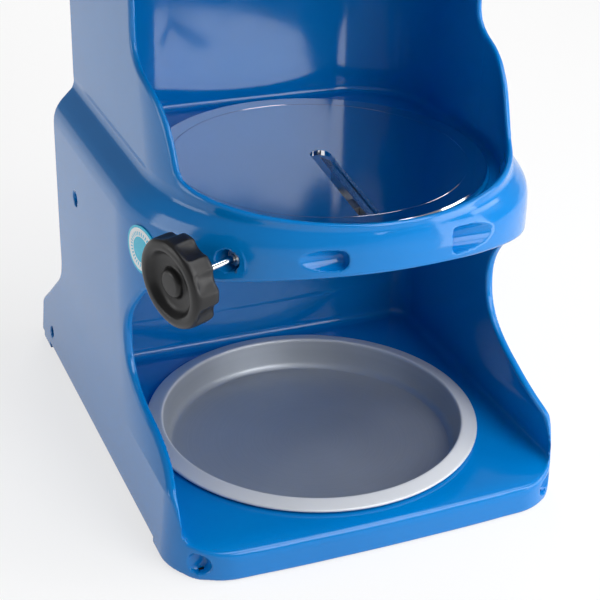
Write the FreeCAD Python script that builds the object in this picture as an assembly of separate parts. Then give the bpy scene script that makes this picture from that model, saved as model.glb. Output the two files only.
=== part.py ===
import FreeCAD, Part
import math
import os
from functools import lru_cache

from FreeCAD import Vector

# Hand-cranked ice shaver.  Millimetres, +Z up, front towards -Y.
# The origin is on the floor, under the axis of the screw spindle.

X, Y, Z = Vector(1, 0, 0), Vector(0, 1, 0), Vector(0, 0, 1)
HERE = Vector(0, 0, 0)

# fits
RUN = 0.06              # radial gap of a turning or sliding fit
THREAD = 0.05           # radial gap between a screw and its tapped hole
HOLE = 0.3              # radial gap of a plain screw hole

# plan of the ring, the chamber and the head, each a step from the blade disc's edge
disc_radius = 100.0
disc_room = 6.0
wall = 4.0
neck_half = disc_radius + disc_room + wall
neck_centre = -6.0
ring_inner = neck_half - wall
rim_radius = neck_half + 5.5
recess_radius = rim_radius - 3.5
seat_radius = disc_radius + 1.5
shelf_open = disc_radius - 10.0
ring_centre = 5.0
ring_radius = rim_radius + 9.0
ring_front = ring_centre - ring_radius
back_inner = disc_radius + 12.5
back_wall = 4.5
back_round = 25.0
bowl_round = 12.0

# plan of the base, which flares from the ring's walls down to the floor
wall_half = ring_radius - 0.5
base_half_knee = wall_half + 1.2
base_half_deck = base_half_knee + 1.4
base_half_foot = base_half_deck + 1.3
front_lip = 1.5 - ring_front
front_foot = front_lip - 1.4
front_bow = 3.0
corner_front = 23.0
corner_rear = 20.0
wing_rear = back_inner + 37.5
base_rear = wing_rear + 62.0

# heights of the casting's lower half
floor_gap = 0.6
side_gap = 4.0
deck_top = 18.5
deck_thick = 4.0
lip_top = 22.0
knee_low = 45.0
knee_high = 78.0

# heights at the ring, each a step from the blade disc's polished face
disc_top = 204.0
disc_thick = 3.0
seat_rise = 1.5
shelf_thick = 4.5
ring_deep = 13.0
rim_rise = 12.0
shoulder_drop = 1.5
shelf_top = disc_top - disc_thick - seat_rise
shelf_under = shelf_top - shelf_thick
ring_under = shelf_under - ring_deep
rim_top = shelf_top + rim_rise
shoulder_low = shelf_top - shoulder_drop

# heights of the head, each a step from the bearing plate's underside
plate_low = 372.0
plate_thick = 8.0
head_deep = 52.0
cover_deep = 16.0
boss_rise = 4.0
plate_top = plate_low + plate_thick
head_top = plate_top + head_deep
cover_top = head_top + cover_deep
boss_top = cover_top + boss_rise

# front edges of the side walls, as (distance behind the ring's front, height above the foot of
# the edge), each drawn for its own height and stretched to fit between lip and ring or rim and head
bay_edge = [(16.5, 4), (20.5, 14), (28.5, 22), (46.5, 31), (74.5, 39), (102.5, 52),
            (111.5, 68), (114.5, 78), (114.5, 88), (111.5, 101), (103.5, 113), (79.5, 134),
            (57.5, 146), (35.5, 152), (0, 162)]
bay_drawn = 160.0
throat_edge = [(59.5, 0), (65.5, 5), (74.5, 10), (78.5, 20), (82.9, 30),
               (91.5, 40), (106.0, 50), (120.5, 55), (127.5, 60), (131.5, 70)]
throat_drawn = 82.0
throat_foot = rim_top + 2.5
throat_mid = (throat_foot + plate_low + 6.0) / 2
# rear edge of the side walls, as (distance behind the wings, z)
rear_edge = [(0, 95), (0, 85), (3, 76), (10, 68), (24, 57), (40, 44),
             (54, 33), (60, 27), (62.5, 20)]

# pockets, holes and feet of the casting
pocket_radius = 5.25
pocket_start = 31.5
pocket_y = ring_front + 6.9
pocket_z = shelf_under - 1.0
foot_hole_radius = 4.0
foot_hole_z = 12.0
rear_hole = (base_rear - 34.0, 16.0)
wall_hole = (95.0, 153.0)
foot_radius = 10.0
foot_height = 5.0
foot_x = base_half_foot - 21.9
foot_front = 22.6 - front_foot
foot_rear = base_rear - 22.0
pad_front = foot_front + 4.0
pad_rear_start = foot_rear - 8.0
pad_rear_end = foot_rear + 11.0
foot_post = 13.0
foot_screw = 2.5

# drip tray
tray_y = -2.0
tray_floor = 6.5
tray_sheet = 2.0
tray_ridge = 28.0
tray_rim_radius = wall_half - wall - 13.0
tray_ridge_radius = tray_rim_radius - 10.0
tray_floor_radius = tray_ridge_radius - 2.7
tray_open_gap = 1.6

# blade disc and its slot
groove_radius = disc_radius - 11.8
groove_wide = 0.5
groove_deep = 0.3
disc_screw_circle = disc_radius - 5.0
disc_screw = 2.0
disc_screw_angles = (60, 180, 300)
stud_height = 4.0
stud_radius = 5.5
slot_start = Vector(1.5, 2.0, 0)
slot_end = Vector(-6.5, 13.0 - disc_radius, 0)
slot_half = 6.25

# blade, its carriage and clamp: s is across the slot, e along it
blade_rise = 0.3
blade_edge = -1.9
blade_far = 18.0
blade_slope = 26.0
blade_thick = 2.0
blade_span = (3.0, disc_radius - 13.0)
bevel_end = 1.5
bar_near = 4.0
bar_span = (10.0, blade_span[1] - 5.0)
bar_bottom = disc_top - 19.5
clamp_near = 10.7
clamp_span = (12.0, bar_span[1] - 2.0)
clamp_screw_e = (14.5, 37.0, clamp_span[1] - 4.0)
clamp_screw_s = 15.0
clamp_screw = 1.6
clamp_head = (1.7, 1.3)     # radius in shank radii, height
clamp_shank = 7.0
blade_travel = 3.0

# adjusting screw: turned about the inward direction through the ring hole
adjust_turn = 18.0
adjust_lift = 4.0
ring_hole = Vector(-88.0, -82.5, disc_top - 17.5)
ring_hole_radius = 6.3
ring_hole_deep = 9.5
stem_radius = 2.4
stem_end = 96.5
stem_bush = (9.5, 20.0)
stem_bush_radius = 4.5
collar_long = 4.0
collar_radius = 4.6
end_play = 0.3
knob_front = -38.4
knob_thick = 16.0
knob_radius = 25.5
knob_lobes = 8
knob_scallop = 10.0
knob_scallop_in = 2.6
knob_dish = 18.5
knob_dish_deep = 4.0
knob_boss = 7.5

# guides of the carriage, in the plan turned by adjust_turn
guide_rows = (-20.0, 38.0 - disc_radius)
guide_z = disc_top - 16.0
guide_pin = 3.0
yoke_left = (-12.0, -9.0)
yoke_right = (23.0, 27.0)
yoke_half = 4.5
yoke_bottom = disc_top - 24.0
yoke_sheet = 3.0
yoke_screw_left = -16.5
yoke_screw_right = 31.5
yoke_screw = 2.0
yoke_foot = 5.5

# bevel gears
gear_apex = plate_top + 32.0
gear_teeth = 40
pinion_teeth = 20
gear_module = 2.25
gear_face = 15.0
tooth_share = 0.40
tooth_tip = 1.8
tooth_root = 2.5
flank = 20.0

# spindle, feed nut and wheel
spindle_radius = 8.0
spindle_long = 238.0
park_gap = 4.0
gripper_hub_long = 16.0
gripper_hub_top = plate_low - park_gap
gripper_low = gripper_hub_top - gripper_hub_long
spindle_top = gripper_low + spindle_long
gripper_thick = 6.0
gripper_radius = 65.0
gripper_hub = 18.0
spike_long = 14.0
spike_radius = 4.0
spike_circle = 50.0
spike_count = 8
key_half = 2.0
key_deep = 2.4
key_out = 10.5
hub_radius = 15.0
hub_low = plate_low + 1.0
gear_back = plate_top + 2.0
hub_top = gear_back + 14.0
gear_boss = 16.5
lower_bush_radius = 19.0
nut_radius = 13.0
nut_low = head_top + 2.5
upper_bush_radius = 17.0
bush_low = head_top + 6.0
felt_radius = 24.0
wheel_low = boss_top + 3.0
wheel_tall = 20.0
wheel_top = wheel_low + wheel_tall
nut_top = wheel_top - 3.0
wheel_hub = 21.0
wheel_ring = 48.5
wheel_rim = 6.5
wheel_spokes = 5
spoke_radius = 4.5
spoke_drop = 2.5
rim_corners = 14
wheel_screw = 2.5
wheel_screw_rise = 7.0

# crank
shaft_radius = 7.0
shaft_start = 29.0
shaft_flat = 5.3
lug = (62.0, 74.0)
lug_half = 16.0
boss = (neck_half - 10.0, neck_half + 4.0)
boss_radius = 18.0
shaft_bush = 10.0
arm = (boss[1] + 6.0, boss[1] + 14.0)
arm_hub = (arm[0] - 4.0, arm[1] + 4.0)
shaft_end = arm_hub[1]
arm_hub_radius = 16.0
arm_length = 100.0
arm_end_radius = 13.0
arm_taper = 0.8             # half width of the web, in hub and end radii
arm_bolt = 4.0
bolt_head = (6.5, 5.5)
bolt_depth = 22.0
washer_radius = 13.0
washer_thick = 2.5
pin_radius = 2.0
pin_place = lug[0] - 6.4
collar_wide = (12.0, 8.0)
grip_pin_radius = 5.0
grip_nut_radius = 8.0
grip_nut_long = 5.0
grip_head_radius = 9.0
grip_gap = 1.0
grip_long = 97.3
grip_head_long = 3.7
grip_radius = 14.0
grip_start = arm[1] + grip_gap
grip_head_start = grip_start + grip_long + grip_gap / 2

# cover screws
cover_front = (neck_half - 16.0, -28.0)
cover_rear = (neck_half - 20.0, back_inner - 17.5)
cover_screws = (cover_front, (-cover_front[0], cover_front[1]),
                cover_rear, (-cover_rear[0], cover_rear[1]))
post_radius = 7.0
cover_screw = 2.5
cover_screw_deep = 22.0

# badge on the left wall
badge_z = 174.8
badge_y = -31.1
badge_radius = 14.5
badge_thick = 0.6


# ---------------------------------------------------------------- helpers
def rod(radius, start, end, axis=Z, centre=HERE):
    """Cylinder along the axis, between two distances from the centre."""
    return Part.makeCylinder(radius, end - start, centre + axis * start, axis)


def tube(outer, inner, start, end, axis=Z, centre=HERE):
    return rod(outer, start, end, axis, centre).cut(rod(inner, start - 1, end + 1, axis, centre))


def block(x, y, z):
    """Box between three pairs of limits."""
    return Part.makeBox(x[1] - x[0], y[1] - y[0], z[1] - z[0], Vector(x[0], y[0], z[0]))


def polygon(points):
    return Part.Face(Part.makePolygon(points + [points[0]]))


def turned(points):
    """Solid of revolution about Z from (radius, height) points."""
    return polygon([Vector(r, 0, z) for r, z in points]).revolve(HERE, Z, 360)


def aimed(shape, centre, axis):
    """Turn a shape made along Z so that it runs along the axis from the centre."""
    moved = shape.copy()
    moved.Placement = FreeCAD.Placement(centre, FreeCAD.Rotation(Z, axis))
    return moved


def united(shapes):
    return shapes[0].multiFuse(shapes[1:]).removeSplitter()


def group(shapes):
    """Several separate pieces kept as solids of one node."""
    solids = []
    for shape in shapes:
        solids += shape.Solids
    return Part.makeCompound(solids)


def screw(head_radius, head_long, shank_radius, shank_long, centre, axis):
    """Screw whose head bears at the centre, with the shank along the axis."""
    head = rod(head_radius, -head_long, 0, axis, centre)
    rim = [edge for edge in head.Edges if edge.Closed and len(edge.Vertexes) == 1
           and (edge.CenterOfMass - centre).dot(axis) < -head_long / 2]
    head = head.makeFillet(min(0.3 * head_long, 0.3 * head_radius), rim)
    socket = rod(head_radius * 0.45, -head_long - 1, -head_long * 0.5, axis, centre)
    return united([head.cut(socket), rod(shank_radius, 0, shank_long, axis, centre)])


# ------------------------------------------------------- plans of the casting
def u_plan(half, radius, centre, rear, z, inset=0.0):
    """Arc across the front, straight sides and a square back."""
    half, radius = half - inset, radius - inset
    side = centre - math.sqrt(radius ** 2 - half ** 2)
    front = Vector(0, centre - radius, z)
    right, left = Vector(half, side, z), Vector(-half, side, z)
    back_right, back_left = Vector(half, rear, z), Vector(-half, rear, z)
    return Part.Wire([Part.makeLine(back_right, right),
                      Part.Arc(right, front, left).toShape(),
                      Part.makeLine(left, back_left),
                      Part.makeLine(back_left, back_right)])


def base_plan(half, front, rear, z, inset=0.0, rear_round=corner_rear):
    """Rounded rectangle with a slightly bowed front."""
    half, front, rear = half - inset, front - inset, rear - inset
    r, b = corner_front - inset, rear_round - inset
    low = front - front_bow
    c45 = math.sqrt(0.5)

    def at(x, y):
        return Vector(x, y, z)

    return Part.Wire([
        Part.makeLine(at(half, rear - b), at(half, r - low)),
        Part.Arc(at(half, r - low), at(half - r * (1 - c45), r * (1 - c45) - low),
                 at(half - r, -low)).toShape(),
        Part.Arc(at(half - r, -low), at(0, -front), at(r - half, -low)).toShape(),
        Part.Arc(at(r - half, -low), at(r * (1 - c45) - half, r * (1 - c45) - low),
                 at(-half, r - low)).toShape(),
        Part.makeLine(at(-half, r - low), at(-half, rear - b)),
        Part.Arc(at(-half, rear - b), at(b * (1 - c45) - half, rear - b * (1 - c45)),
                 at(b - half, rear)).toShape(),
        Part.makeLine(at(b - half, rear), at(half - b, rear)),
        Part.Arc(at(half - b, rear), at(half - b * (1 - c45), rear - b * (1 - c45)),
                 at(half, rear - b)).toShape()])


def prism(wire, height):
    return Part.Face(wire).extrude(Vector(0, 0, height))


def rounded_back(shape, radius, y):
    """Round the upright corners at the back of a cavity."""
    corners = [edge for edge in shape.Edges
               if abs(edge.BoundBox.YMin - y) < 0.01 and abs(edge.BoundBox.YMax - y) < 0.01
               and edge.BoundBox.ZLength > 5]
    return shape.makeFillet(radius, corners)


def side_cutter(edge, closing):
    """Profile seen from the side, run right through along X."""
    curve = Part.BSplineCurve()
    curve.interpolate([Vector(0, y, z) for y, z in edge])
    first, last = edge[0], edge[-1]
    points = [Vector(0, y, z) for y, z in [last] + closing + [first]]
    wire = Part.Wire([curve.toShape(), Part.makePolygon(points)])
    return Part.Face(wire).extrude(X * 400).translated(X * -200)


# ------------------------------------------------------------- the casting
def outer_body():
    levels = [(floor_gap, base_half_foot, front_foot), (deck_top, base_half_deck, front_lip),
              (knee_low, base_half_knee, front_lip), (knee_high, wall_half, front_lip)]
    base = Part.makeLoft([base_plan(half, front, base_rear, z) for z, half, front in levels],
                         True, True)
    walls = prism(u_plan(wall_half, ring_radius, ring_centre, wing_rear, knee_high),
                  shoulder_low - knee_high)
    shoulder = Part.makeLoft(
        [u_plan(wall_half, ring_radius, ring_centre, wing_rear, shoulder_low),
         u_plan(neck_half, rim_radius, 0, wing_rear, rim_top)], True, True)
    neck = prism(u_plan(neck_half, neck_half + 0.01, neck_centre, wing_rear, shoulder_low),
                 head_top - shoulder_low)
    return united([base, walls, shoulder, neck])


def neck_cavity(low, high):
    plan = u_plan(neck_half, neck_half + 0.01, neck_centre, back_inner, low, wall)
    return rounded_back(prism(plan, high - low), back_round, back_inner)


def casting_cavities():
    under = prism(base_plan(base_half_foot, front_foot, base_rear, 0, wall),
                  deck_top - deck_thick)
    floor_plan = base_plan(base_half_deck, front_lip, back_inner + wall, deck_top, wall,
                           bowl_round + wall)
    knee_plan = base_plan(wall_half, front_lip, back_inner + wall, knee_high, wall,
                          bowl_round + wall)
    bay_low = Part.makeLoft([floor_plan, knee_plan], True, True)
    bay_high = rounded_back(
        prism(u_plan(wall_half, ring_radius, ring_centre, back_inner, knee_high, wall),
              ring_under - knee_high), bowl_round, back_inner)
    ring_bay = united([rod(ring_inner, ring_under, shelf_under),
                       block((-ring_inner, ring_inner), (0, back_inner - back_wall),
                             (ring_under, shelf_under))])
    recess = rod(recess_radius, shelf_top, rim_top + 5).common(
        block((-200, 200), (-200, -50), (0, 500)))
    return [under, bay_low, bay_high, ring_bay, recess,
            neck_cavity(shelf_top, plate_low), neck_cavity(plate_top, head_top + 1)]


def rear_openings():
    rear = back_inner + back_wall
    deck_well = block((-wall_half + wall, wall_half - wall), (rear, base_rear - wall),
                      (deck_top, knee_high))
    over_lip = block((-wall_half + wall, wall_half - wall), (rear, base_rear + 1),
                     (lip_top, knee_high))
    lower = block((-wall_half + wall, wall_half - wall), (rear, wing_rear + 1),
                  (knee_high, shoulder_low - wall))
    upper = block((wall - neck_half, neck_half - wall), (rear, wing_rear + 1),
                  (shoulder_low - wall - 1, head_top + 1))
    return [deck_well, over_lip, lower, upper]


def stretched(edge, foot, height, drawn):
    """Edge as (y, z), its heights stretched from the drawn height to the real one."""
    return [(ring_front + y, foot + z * height / drawn) for y, z in edge]


def edge_cutters():
    low = stretched(bay_edge, lip_top, ring_under - lip_top, bay_drawn)
    half = stretched(throat_edge, throat_foot, throat_mid - throat_foot, throat_drawn)
    throat = half + [(y, 2 * throat_mid - z) for y, z in reversed(half)]
    slope = [(wing_rear + y, z) for y, z in rear_edge]
    bay = side_cutter(low, [(-300, shelf_top + 40.5), (-300, lip_top), (low[0][0], lip_top)])
    mouth = side_cutter(throat, [(-300, throat[-1][1]), (-300, rim_top), (throat[0][0], rim_top)])
    rear = side_cutter(slope, [(300, slope[-1][1]), (300, 500), (wing_rear, 500)])
    return [bay, mouth, rear]


def foot_places():
    return [Vector(x, y, 0) for x in (foot_x, -foot_x) for y in (foot_front, foot_rear)]


def casting_holes():
    cuts = [rod(tray_ridge_radius + tray_open_gap, 0, deck_top + 1, Z, Vector(0, tray_y, 0)),
            rod(shelf_open, shelf_under - 1, disc_top)]
    for side in (1, -1):
        cuts.append(rod(pocket_radius, pocket_start, wall_half, X * side,
                        Vector(0, pocket_y, pocket_z)))
        for y, z in (rear_hole, wall_hole):
            cuts.append(rod(foot_hole_radius, wall_half - 3, 140, X * side, Vector(0, y, z)))
        corner = Vector(side * (base_half_foot - corner_front),
                        corner_front - front_foot + front_bow, foot_hole_z)
        outward = Vector(side * 9, -14.5, 0).normalize()
        cuts.append(rod(foot_hole_radius, corner_front - wall - 1, corner_front + 5,
                        outward, corner))
    for angle in disc_screw_angles:
        cuts.append(rod(disc_screw + HOLE, shelf_under - 1, disc_top, Z,
                        polar(disc_screw_circle, angle)))
    cuts.append(rod(lower_bush_radius, plate_low - 1, plate_top + 1))
    cuts.append(rod(shaft_bush, lug[0] - 1, boss[1] + 1, X, Vector(0, 0, gear_apex)))
    cuts.append(rod(ring_hole_radius, -12, ring_hole_deep, inward(), ring_hole))
    cuts.append(rod(stem_bush_radius, 0, stem_bush[1] + 6, inward(), ring_hole))
    for place in foot_places():
        cuts.append(rod(foot_radius + HOLE, 0, foot_height, Z, place))
        cuts.append(rod(foot_screw + THREAD, 0, deck_top - deck_thick, Z, place))
    for x, y in cover_screws:
        cuts.append(rod(cover_screw + THREAD, head_top - cover_screw_deep, head_top + 1, Z,
                        Vector(x, y, 0)))
    return cuts


def polar(radius, angle):
    turn = math.radians(angle)
    return Vector(radius * math.cos(turn), radius * math.sin(turn), 0)


def inward():
    """Direction in which the adjusting screw runs into the machine."""
    turn, lift = math.radians(adjust_turn), math.radians(adjust_lift)
    return Vector(math.cos(lift) * math.cos(turn), math.cos(lift) * math.sin(turn),
                  math.sin(lift))


def casting_bosses():
    seat = rod(seat_radius, shelf_under, disc_top - disc_thick)
    posts = [rod(foot_post, floor_gap, deck_top - 1, Z, place) for place in foot_places()]
    head_posts = [rod(post_radius, plate_top - 1, head_top, Z, Vector(x, y, 0))
                  for x, y in cover_screws]
    lug_block = block(lug, (-lug_half, lug_half), (plate_top - 1, gear_apex))
    lug_round = rod(lug_half, lug[0], lug[1], X, Vector(0, 0, gear_apex))
    crank_boss = rod(boss_radius, boss[0], boss[1], X, Vector(0, 0, gear_apex))
    stem_lug = rod(2 * stem_bush_radius, ring_hole_deep - 4, stem_bush[1], inward(), ring_hole)
    return [seat, lug_block, lug_round, crank_boss, stem_lug] + posts + head_posts


@lru_cache(maxsize=None)
def whole_casting():
    body = outer_body()
    for cavity in casting_cavities() + rear_openings() + edge_cutters():
        body = body.cut(cavity)
    body = united([body] + casting_bosses())
    sides = [block((100, 200), (pad_front, pad_rear_start), (0, side_gap)),
             block((-200, -100), (pad_front, pad_rear_start), (0, side_gap)),
             block((-200, 200), (pad_rear_end, base_rear + 5), (0, side_gap)),
             block((-100, 100), (corner_front + wall - front_foot, pad_rear_end), (0, side_gap))]
    for cut in sides + casting_holes():
        body = body.cut(cut)
    return body


def casting_between(low, high):
    """The layer of the one-piece casting between two heights."""
    reach = 2 * base_rear
    return whole_casting().common(block((-reach, reach), (-reach, reach), (low, high)))


def make_casting_base():
    return casting_between(0, deck_top)


def make_casting_bay():
    return casting_between(deck_top, ring_under)


def make_casting_ring():
    return casting_between(ring_under, rim_top)


def make_casting_chamber():
    return casting_between(rim_top, plate_low)


def make_casting_head():
    return casting_between(plate_low, cover_top)


# ------------------------------------------------------ feet, tray and badge
def make_feet():
    pads = []
    for place in foot_places():
        pad = rod(foot_radius, 0, foot_height, Z, place)
        pad = pad.cut(rod(2 * foot_screw, 0, foot_height / 2, Z, place))
        pads.append(pad.cut(rod(foot_screw + HOLE, 0, foot_height, Z, place)))
    return group(pads)


def make_foot_screws():
    depth = deck_top - deck_thick - foot_height / 2 - 1
    return group([screw(1.7 * foot_screw, foot_height / 2 - 0.5, foot_screw, depth,
                        place + Z * foot_height / 2, Z) for place in foot_places()])


def make_tray():
    sheet = tray_sheet
    under = tray_floor - sheet
    profile = [(0, under), (tray_floor_radius - 1, under), (tray_floor_radius + 2, under + 3.5),
               (tray_ridge_radius + 1.1, tray_ridge - 2.2),
               (tray_rim_radius - sheet, tray_ridge - 4), (tray_rim_radius - sheet, deck_top),
               (tray_rim_radius, deck_top), (tray_rim_radius, tray_ridge - 3.4),
               (tray_rim_radius - 1.5, tray_ridge - 1.8), (tray_ridge_radius + 1.5, tray_ridge),
               (tray_ridge_radius, tray_ridge), (tray_ridge_radius - 1, tray_ridge - 1),
               (tray_floor_radius, tray_floor + 2), (tray_floor_radius - 2.2, tray_floor),
               (0, tray_floor)]
    return turned(profile).translated(Vector(0, tray_y, 0))


def make_badge():
    skin = tube(ring_radius + badge_thick, ring_radius, badge_z - 20, badge_z + 20, Z,
                Vector(0, ring_centre, 0))
    across = badge_y - ring_centre
    face = Vector(-math.sqrt(ring_radius ** 2 - across ** 2), badge_y, badge_z)
    outward = Vector(face.x, across, 0).normalize()
    return skin.common(rod(badge_radius, -8, 8, outward, face))


# ----------------------------------------------------- blade disc and carriage
def along_slot():
    return (slot_end - slot_start).normalize()


def across_slot():
    e = along_slot()
    return Vector(-e.y, e.x, 0)


def slot_point(s, e, z):
    return slot_start + along_slot() * e + across_slot() * s + Z * z


def slot_bar(section, span):
    """Run a section given as (s, z) points along the slot."""
    face = polygon([slot_point(s, span[0], z) for s, z in section])
    return face.extrude(along_slot() * (span[1] - span[0]))


def blade_top(s):
    return disc_top + blade_rise - (s - blade_edge) * math.tan(math.radians(blade_slope))


def guide_centre(row):
    """Place of the slot's middle, in the turned plan, on one guide row."""
    turn = math.radians(adjust_turn)
    along, side = Vector(math.cos(turn), math.sin(turn), 0), Vector(-math.sin(turn), math.cos(turn), 0)
    start, end = slot_start.dot(side), slot_end.dot(side)
    part = (row - start) / (end - start)
    return slot_start.dot(along) + part * (slot_end.dot(along) - slot_start.dot(along))


def to_plan(shape):
    return shape.copy().rotated(HERE, Z, adjust_turn)


def plan_point(u, w, z):
    return FreeCAD.Rotation(Z, adjust_turn).multVec(Vector(u, w, z))


def yoke_places():
    """Screw places of the two yokes, on the disc's underside studs."""
    return [plan_point(guide_centre(row) + offset, row, 0)
            for row in guide_rows for offset in (yoke_screw_left, yoke_screw_right)]


def make_disc():
    low = disc_top - disc_thick
    slot_length = (slot_end - slot_start).Length
    plate = turned([(0, low), (disc_radius - 0.5, low), (disc_radius, low + 0.5),
                    (disc_radius, disc_top - 0.8), (disc_radius - 0.8, disc_top),
                    (0, disc_top)])
    studs = [rod(stud_radius, low - stud_height, low, Z, place) for place in yoke_places()]
    disc = united([plate] + studs)
    slot = slot_bar([(-slot_half, low - 1), (slot_half, low - 1), (slot_half, disc_top + 1),
                     (-slot_half, disc_top + 1)], (0, slot_length))
    disc = disc.cut(slot).cut(rod(slot_half, low - 1, disc_top + 1, Z, slot_start))
    disc = disc.cut(tube(groove_radius + groove_wide, groove_radius, disc_top - groove_deep,
                         disc_top + 1))
    for angle in disc_screw_angles:
        disc = disc.cut(rod(disc_screw + THREAD, low - 1, disc_top - 0.8, Z,
                            polar(disc_screw_circle, angle)))
    for place in yoke_places():
        disc = disc.cut(rod(yoke_screw + THREAD, low - stud_height - 1, disc_top - 0.8, Z, place))
    return disc


def make_disc_screws():
    long = disc_top - 1.2 - shelf_under
    return group([screw(2 * disc_screw, 3, disc_screw, long,
                        polar(disc_screw_circle, angle) + Z * shelf_under, Z)
                  for angle in disc_screw_angles])


def yoke_top():
    return disc_top - disc_thick - stud_height


def make_yokes():
    yokes = []
    for row in guide_rows:
        mid = guide_centre(row)
        side = (row - yoke_half, row + yoke_half)
        left = (mid + yoke_left[0], mid + yoke_left[1])
        right = (mid + yoke_right[0], mid + yoke_right[1])
        rise = (yoke_bottom, yoke_top())
        sheet = (yoke_top() - yoke_sheet, yoke_top())
        parts = [block(left, side, rise), block(right, side, rise),
                 block((left[0], right[1]), side, (yoke_bottom, yoke_bottom + yoke_sheet)),
                 block((mid + yoke_screw_left - yoke_foot, left[1]), side, sheet),
                 block((right[0], mid + yoke_screw_right + yoke_foot), side, sheet)]
        yoke = to_plan(united(parts))
        yoke = yoke.cut(rod(guide_pin, -60, 60, inward(), plan_point(mid, row, guide_z)))
        for offset in (yoke_screw_left, yoke_screw_right):
            yoke = yoke.cut(rod(yoke_screw + HOLE, yoke_bottom, disc_top, Z,
                                plan_point(mid + offset, row, 0)))
        yokes.append(yoke)
    return group(yokes)


def make_yoke_screws():
    long = yoke_sheet + stud_height + 1
    return group([screw(1.7 * yoke_screw, 2.5, yoke_screw, long,
                        place + Z * (yoke_top() - yoke_sheet), Z) for place in yoke_places()])


def make_guide_pins():
    return group([rod(guide_pin, yoke_left[0], yoke_right[1], inward(),
                      plan_point(guide_centre(row), row, guide_z)) for row in guide_rows])


def clamp_axis():
    """Into the carriage, square to the blade."""
    slope = math.radians(blade_slope)
    return (across_slot() * math.sin(slope) + Z * math.cos(slope)) * -1


def clamp_places():
    rise = blade_thick / math.cos(math.radians(blade_slope))
    return [slot_point(clamp_screw_s, e, blade_top(clamp_screw_s) + rise) for e in clamp_screw_e]


def cut_clamp_holes(shape, gap):
    for place in clamp_places():
        shape = shape.cut(rod(clamp_screw + gap, -10, 10, clamp_axis(), place))
    return shape


def blade_drop():
    return blade_thick / math.cos(math.radians(blade_slope))


def make_carriage():
    near, far = bar_near, blade_far - 0.5
    bar = slot_bar([(near, bar_bottom), (far, bar_bottom), (far, blade_top(far) - blade_drop()),
                    (near, blade_top(near) - blade_drop())], bar_span)
    row = ring_hole.dot(plan_point(0, 1, 0))
    mid = guide_centre(row)
    nut = to_plan(block((mid - 2, mid + 9), (row - 5.5, row + 5.5), (bar_bottom, bar_bottom + 11.5)))
    body = united([bar, nut])
    for guide in guide_rows:
        body = body.cut(rod(guide_pin + RUN, -60, 60, inward(),
                            plan_point(guide_centre(guide), guide, guide_z)))
    body = body.cut(rod(stem_radius + RUN, 60, stem_end + blade_travel + 1, inward(), ring_hole))
    return cut_clamp_holes(body, THREAD)


def make_blade():
    slope = math.radians(blade_slope)
    far = blade_far
    section = [(blade_edge, blade_top(blade_edge)), (far, blade_top(far)),
               (far - blade_thick * math.sin(slope), blade_top(far) - blade_thick * math.cos(slope)),
               (bevel_end, blade_top(bevel_end) - blade_drop())]
    return cut_clamp_holes(slot_bar(section, blade_span), HOLE)


def make_clamp():
    near, far = clamp_near, blade_far
    section = [(near, blade_top(near)), (far, blade_top(far)),
               (far, blade_top(far) + blade_drop()), (near, blade_top(near) + blade_drop())]
    return cut_clamp_holes(slot_bar(section, clamp_span), HOLE)


def make_clamp_screws():
    return group([screw(clamp_head[0] * clamp_screw, clamp_head[1], clamp_screw, clamp_shank,
                        place, clamp_axis()) for place in clamp_places()])


# ------------------------------------------------------------ adjusting screw
def make_stem_bush():
    return tube(stem_bush_radius, stem_radius + RUN, stem_bush[0], stem_bush[1], inward(), ring_hole)


def make_stem():
    return rod(stem_radius, knob_front + knob_thick / 2, stem_end, inward(), ring_hole)


def make_collars():
    outer_end = stem_bush[0] - end_play
    inner_start = stem_bush[1] + end_play
    return group([tube(collar_radius, stem_radius, outer_end - collar_long, outer_end,
                       inward(), ring_hole),
                  tube(collar_radius, stem_radius, inner_start, inner_start + collar_long,
                       inward(), ring_hole)])


def make_knob():
    """Star knob, made along Z with its dished face at height 0."""
    knob = turned([(0, 0), (knob_radius - 3, 0), (knob_radius, 2.5),
                   (knob_radius - 0.5, knob_thick - 2), (knob_radius - 3, knob_thick),
                   (0, knob_thick)])
    knob = knob.cut(turned([(0, 0), (knob_dish, 0), (knob_dish - 3, knob_dish_deep),
                            (0, knob_dish_deep)]))
    knob = united([knob, rod(knob_boss, knob_dish_deep * 0.3, knob_dish_deep + 1)])
    reach = knob_radius + knob_scallop - knob_scallop_in
    for index in range(knob_lobes):
        knob = knob.cut(rod(knob_scallop, -1, knob_thick + 1, Z,
                            polar(reach, 360.0 * index / knob_lobes)))
    knob = united([knob, rod(2.2 * stem_radius, knob_thick - 1, knob_thick + 5)])
    knob = knob.cut(rod(stem_radius, knob_thick / 2, knob_thick + 10))
    return aimed(knob, ring_hole + inward() * knob_front, inward())


# --------------------------------------------------------- gears and spindle
def cone_half_angles():
    gear = math.atan2(gear_teeth, pinion_teeth)
    return gear, math.pi / 2 - gear


def cone_length():
    return gear_module * math.hypot(gear_teeth, pinion_teeth) / 2


def bevel_tooth(half_angle):
    """One tapered tooth; apex at the origin, wheel axis down -Z, tooth towards +X."""
    length = cone_length()
    out = Vector(math.sin(half_angle), 0, -math.cos(half_angle))
    up = Vector(math.cos(half_angle), 0, math.sin(half_angle))
    middle = math.pi * gear_module * tooth_share / 2
    lean = math.tan(math.radians(flank))
    low, high = -tooth_root - 0.5, tooth_tip
    ends = []
    for scale in (1.0, 1.0 - gear_face / length):
        corners = [out * length + up * low + Y * (middle - low * lean),
                   out * length + up * high + Y * (middle - high * lean),
                   out * length + up * high - Y * (middle - high * lean),
                   out * length + up * low - Y * (middle - low * lean)]
        corners = [corner * scale for corner in corners]
        ends.append(Part.makePolygon(corners + [corners[0]]))
    return Part.makeLoft(ends, True, True)


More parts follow.
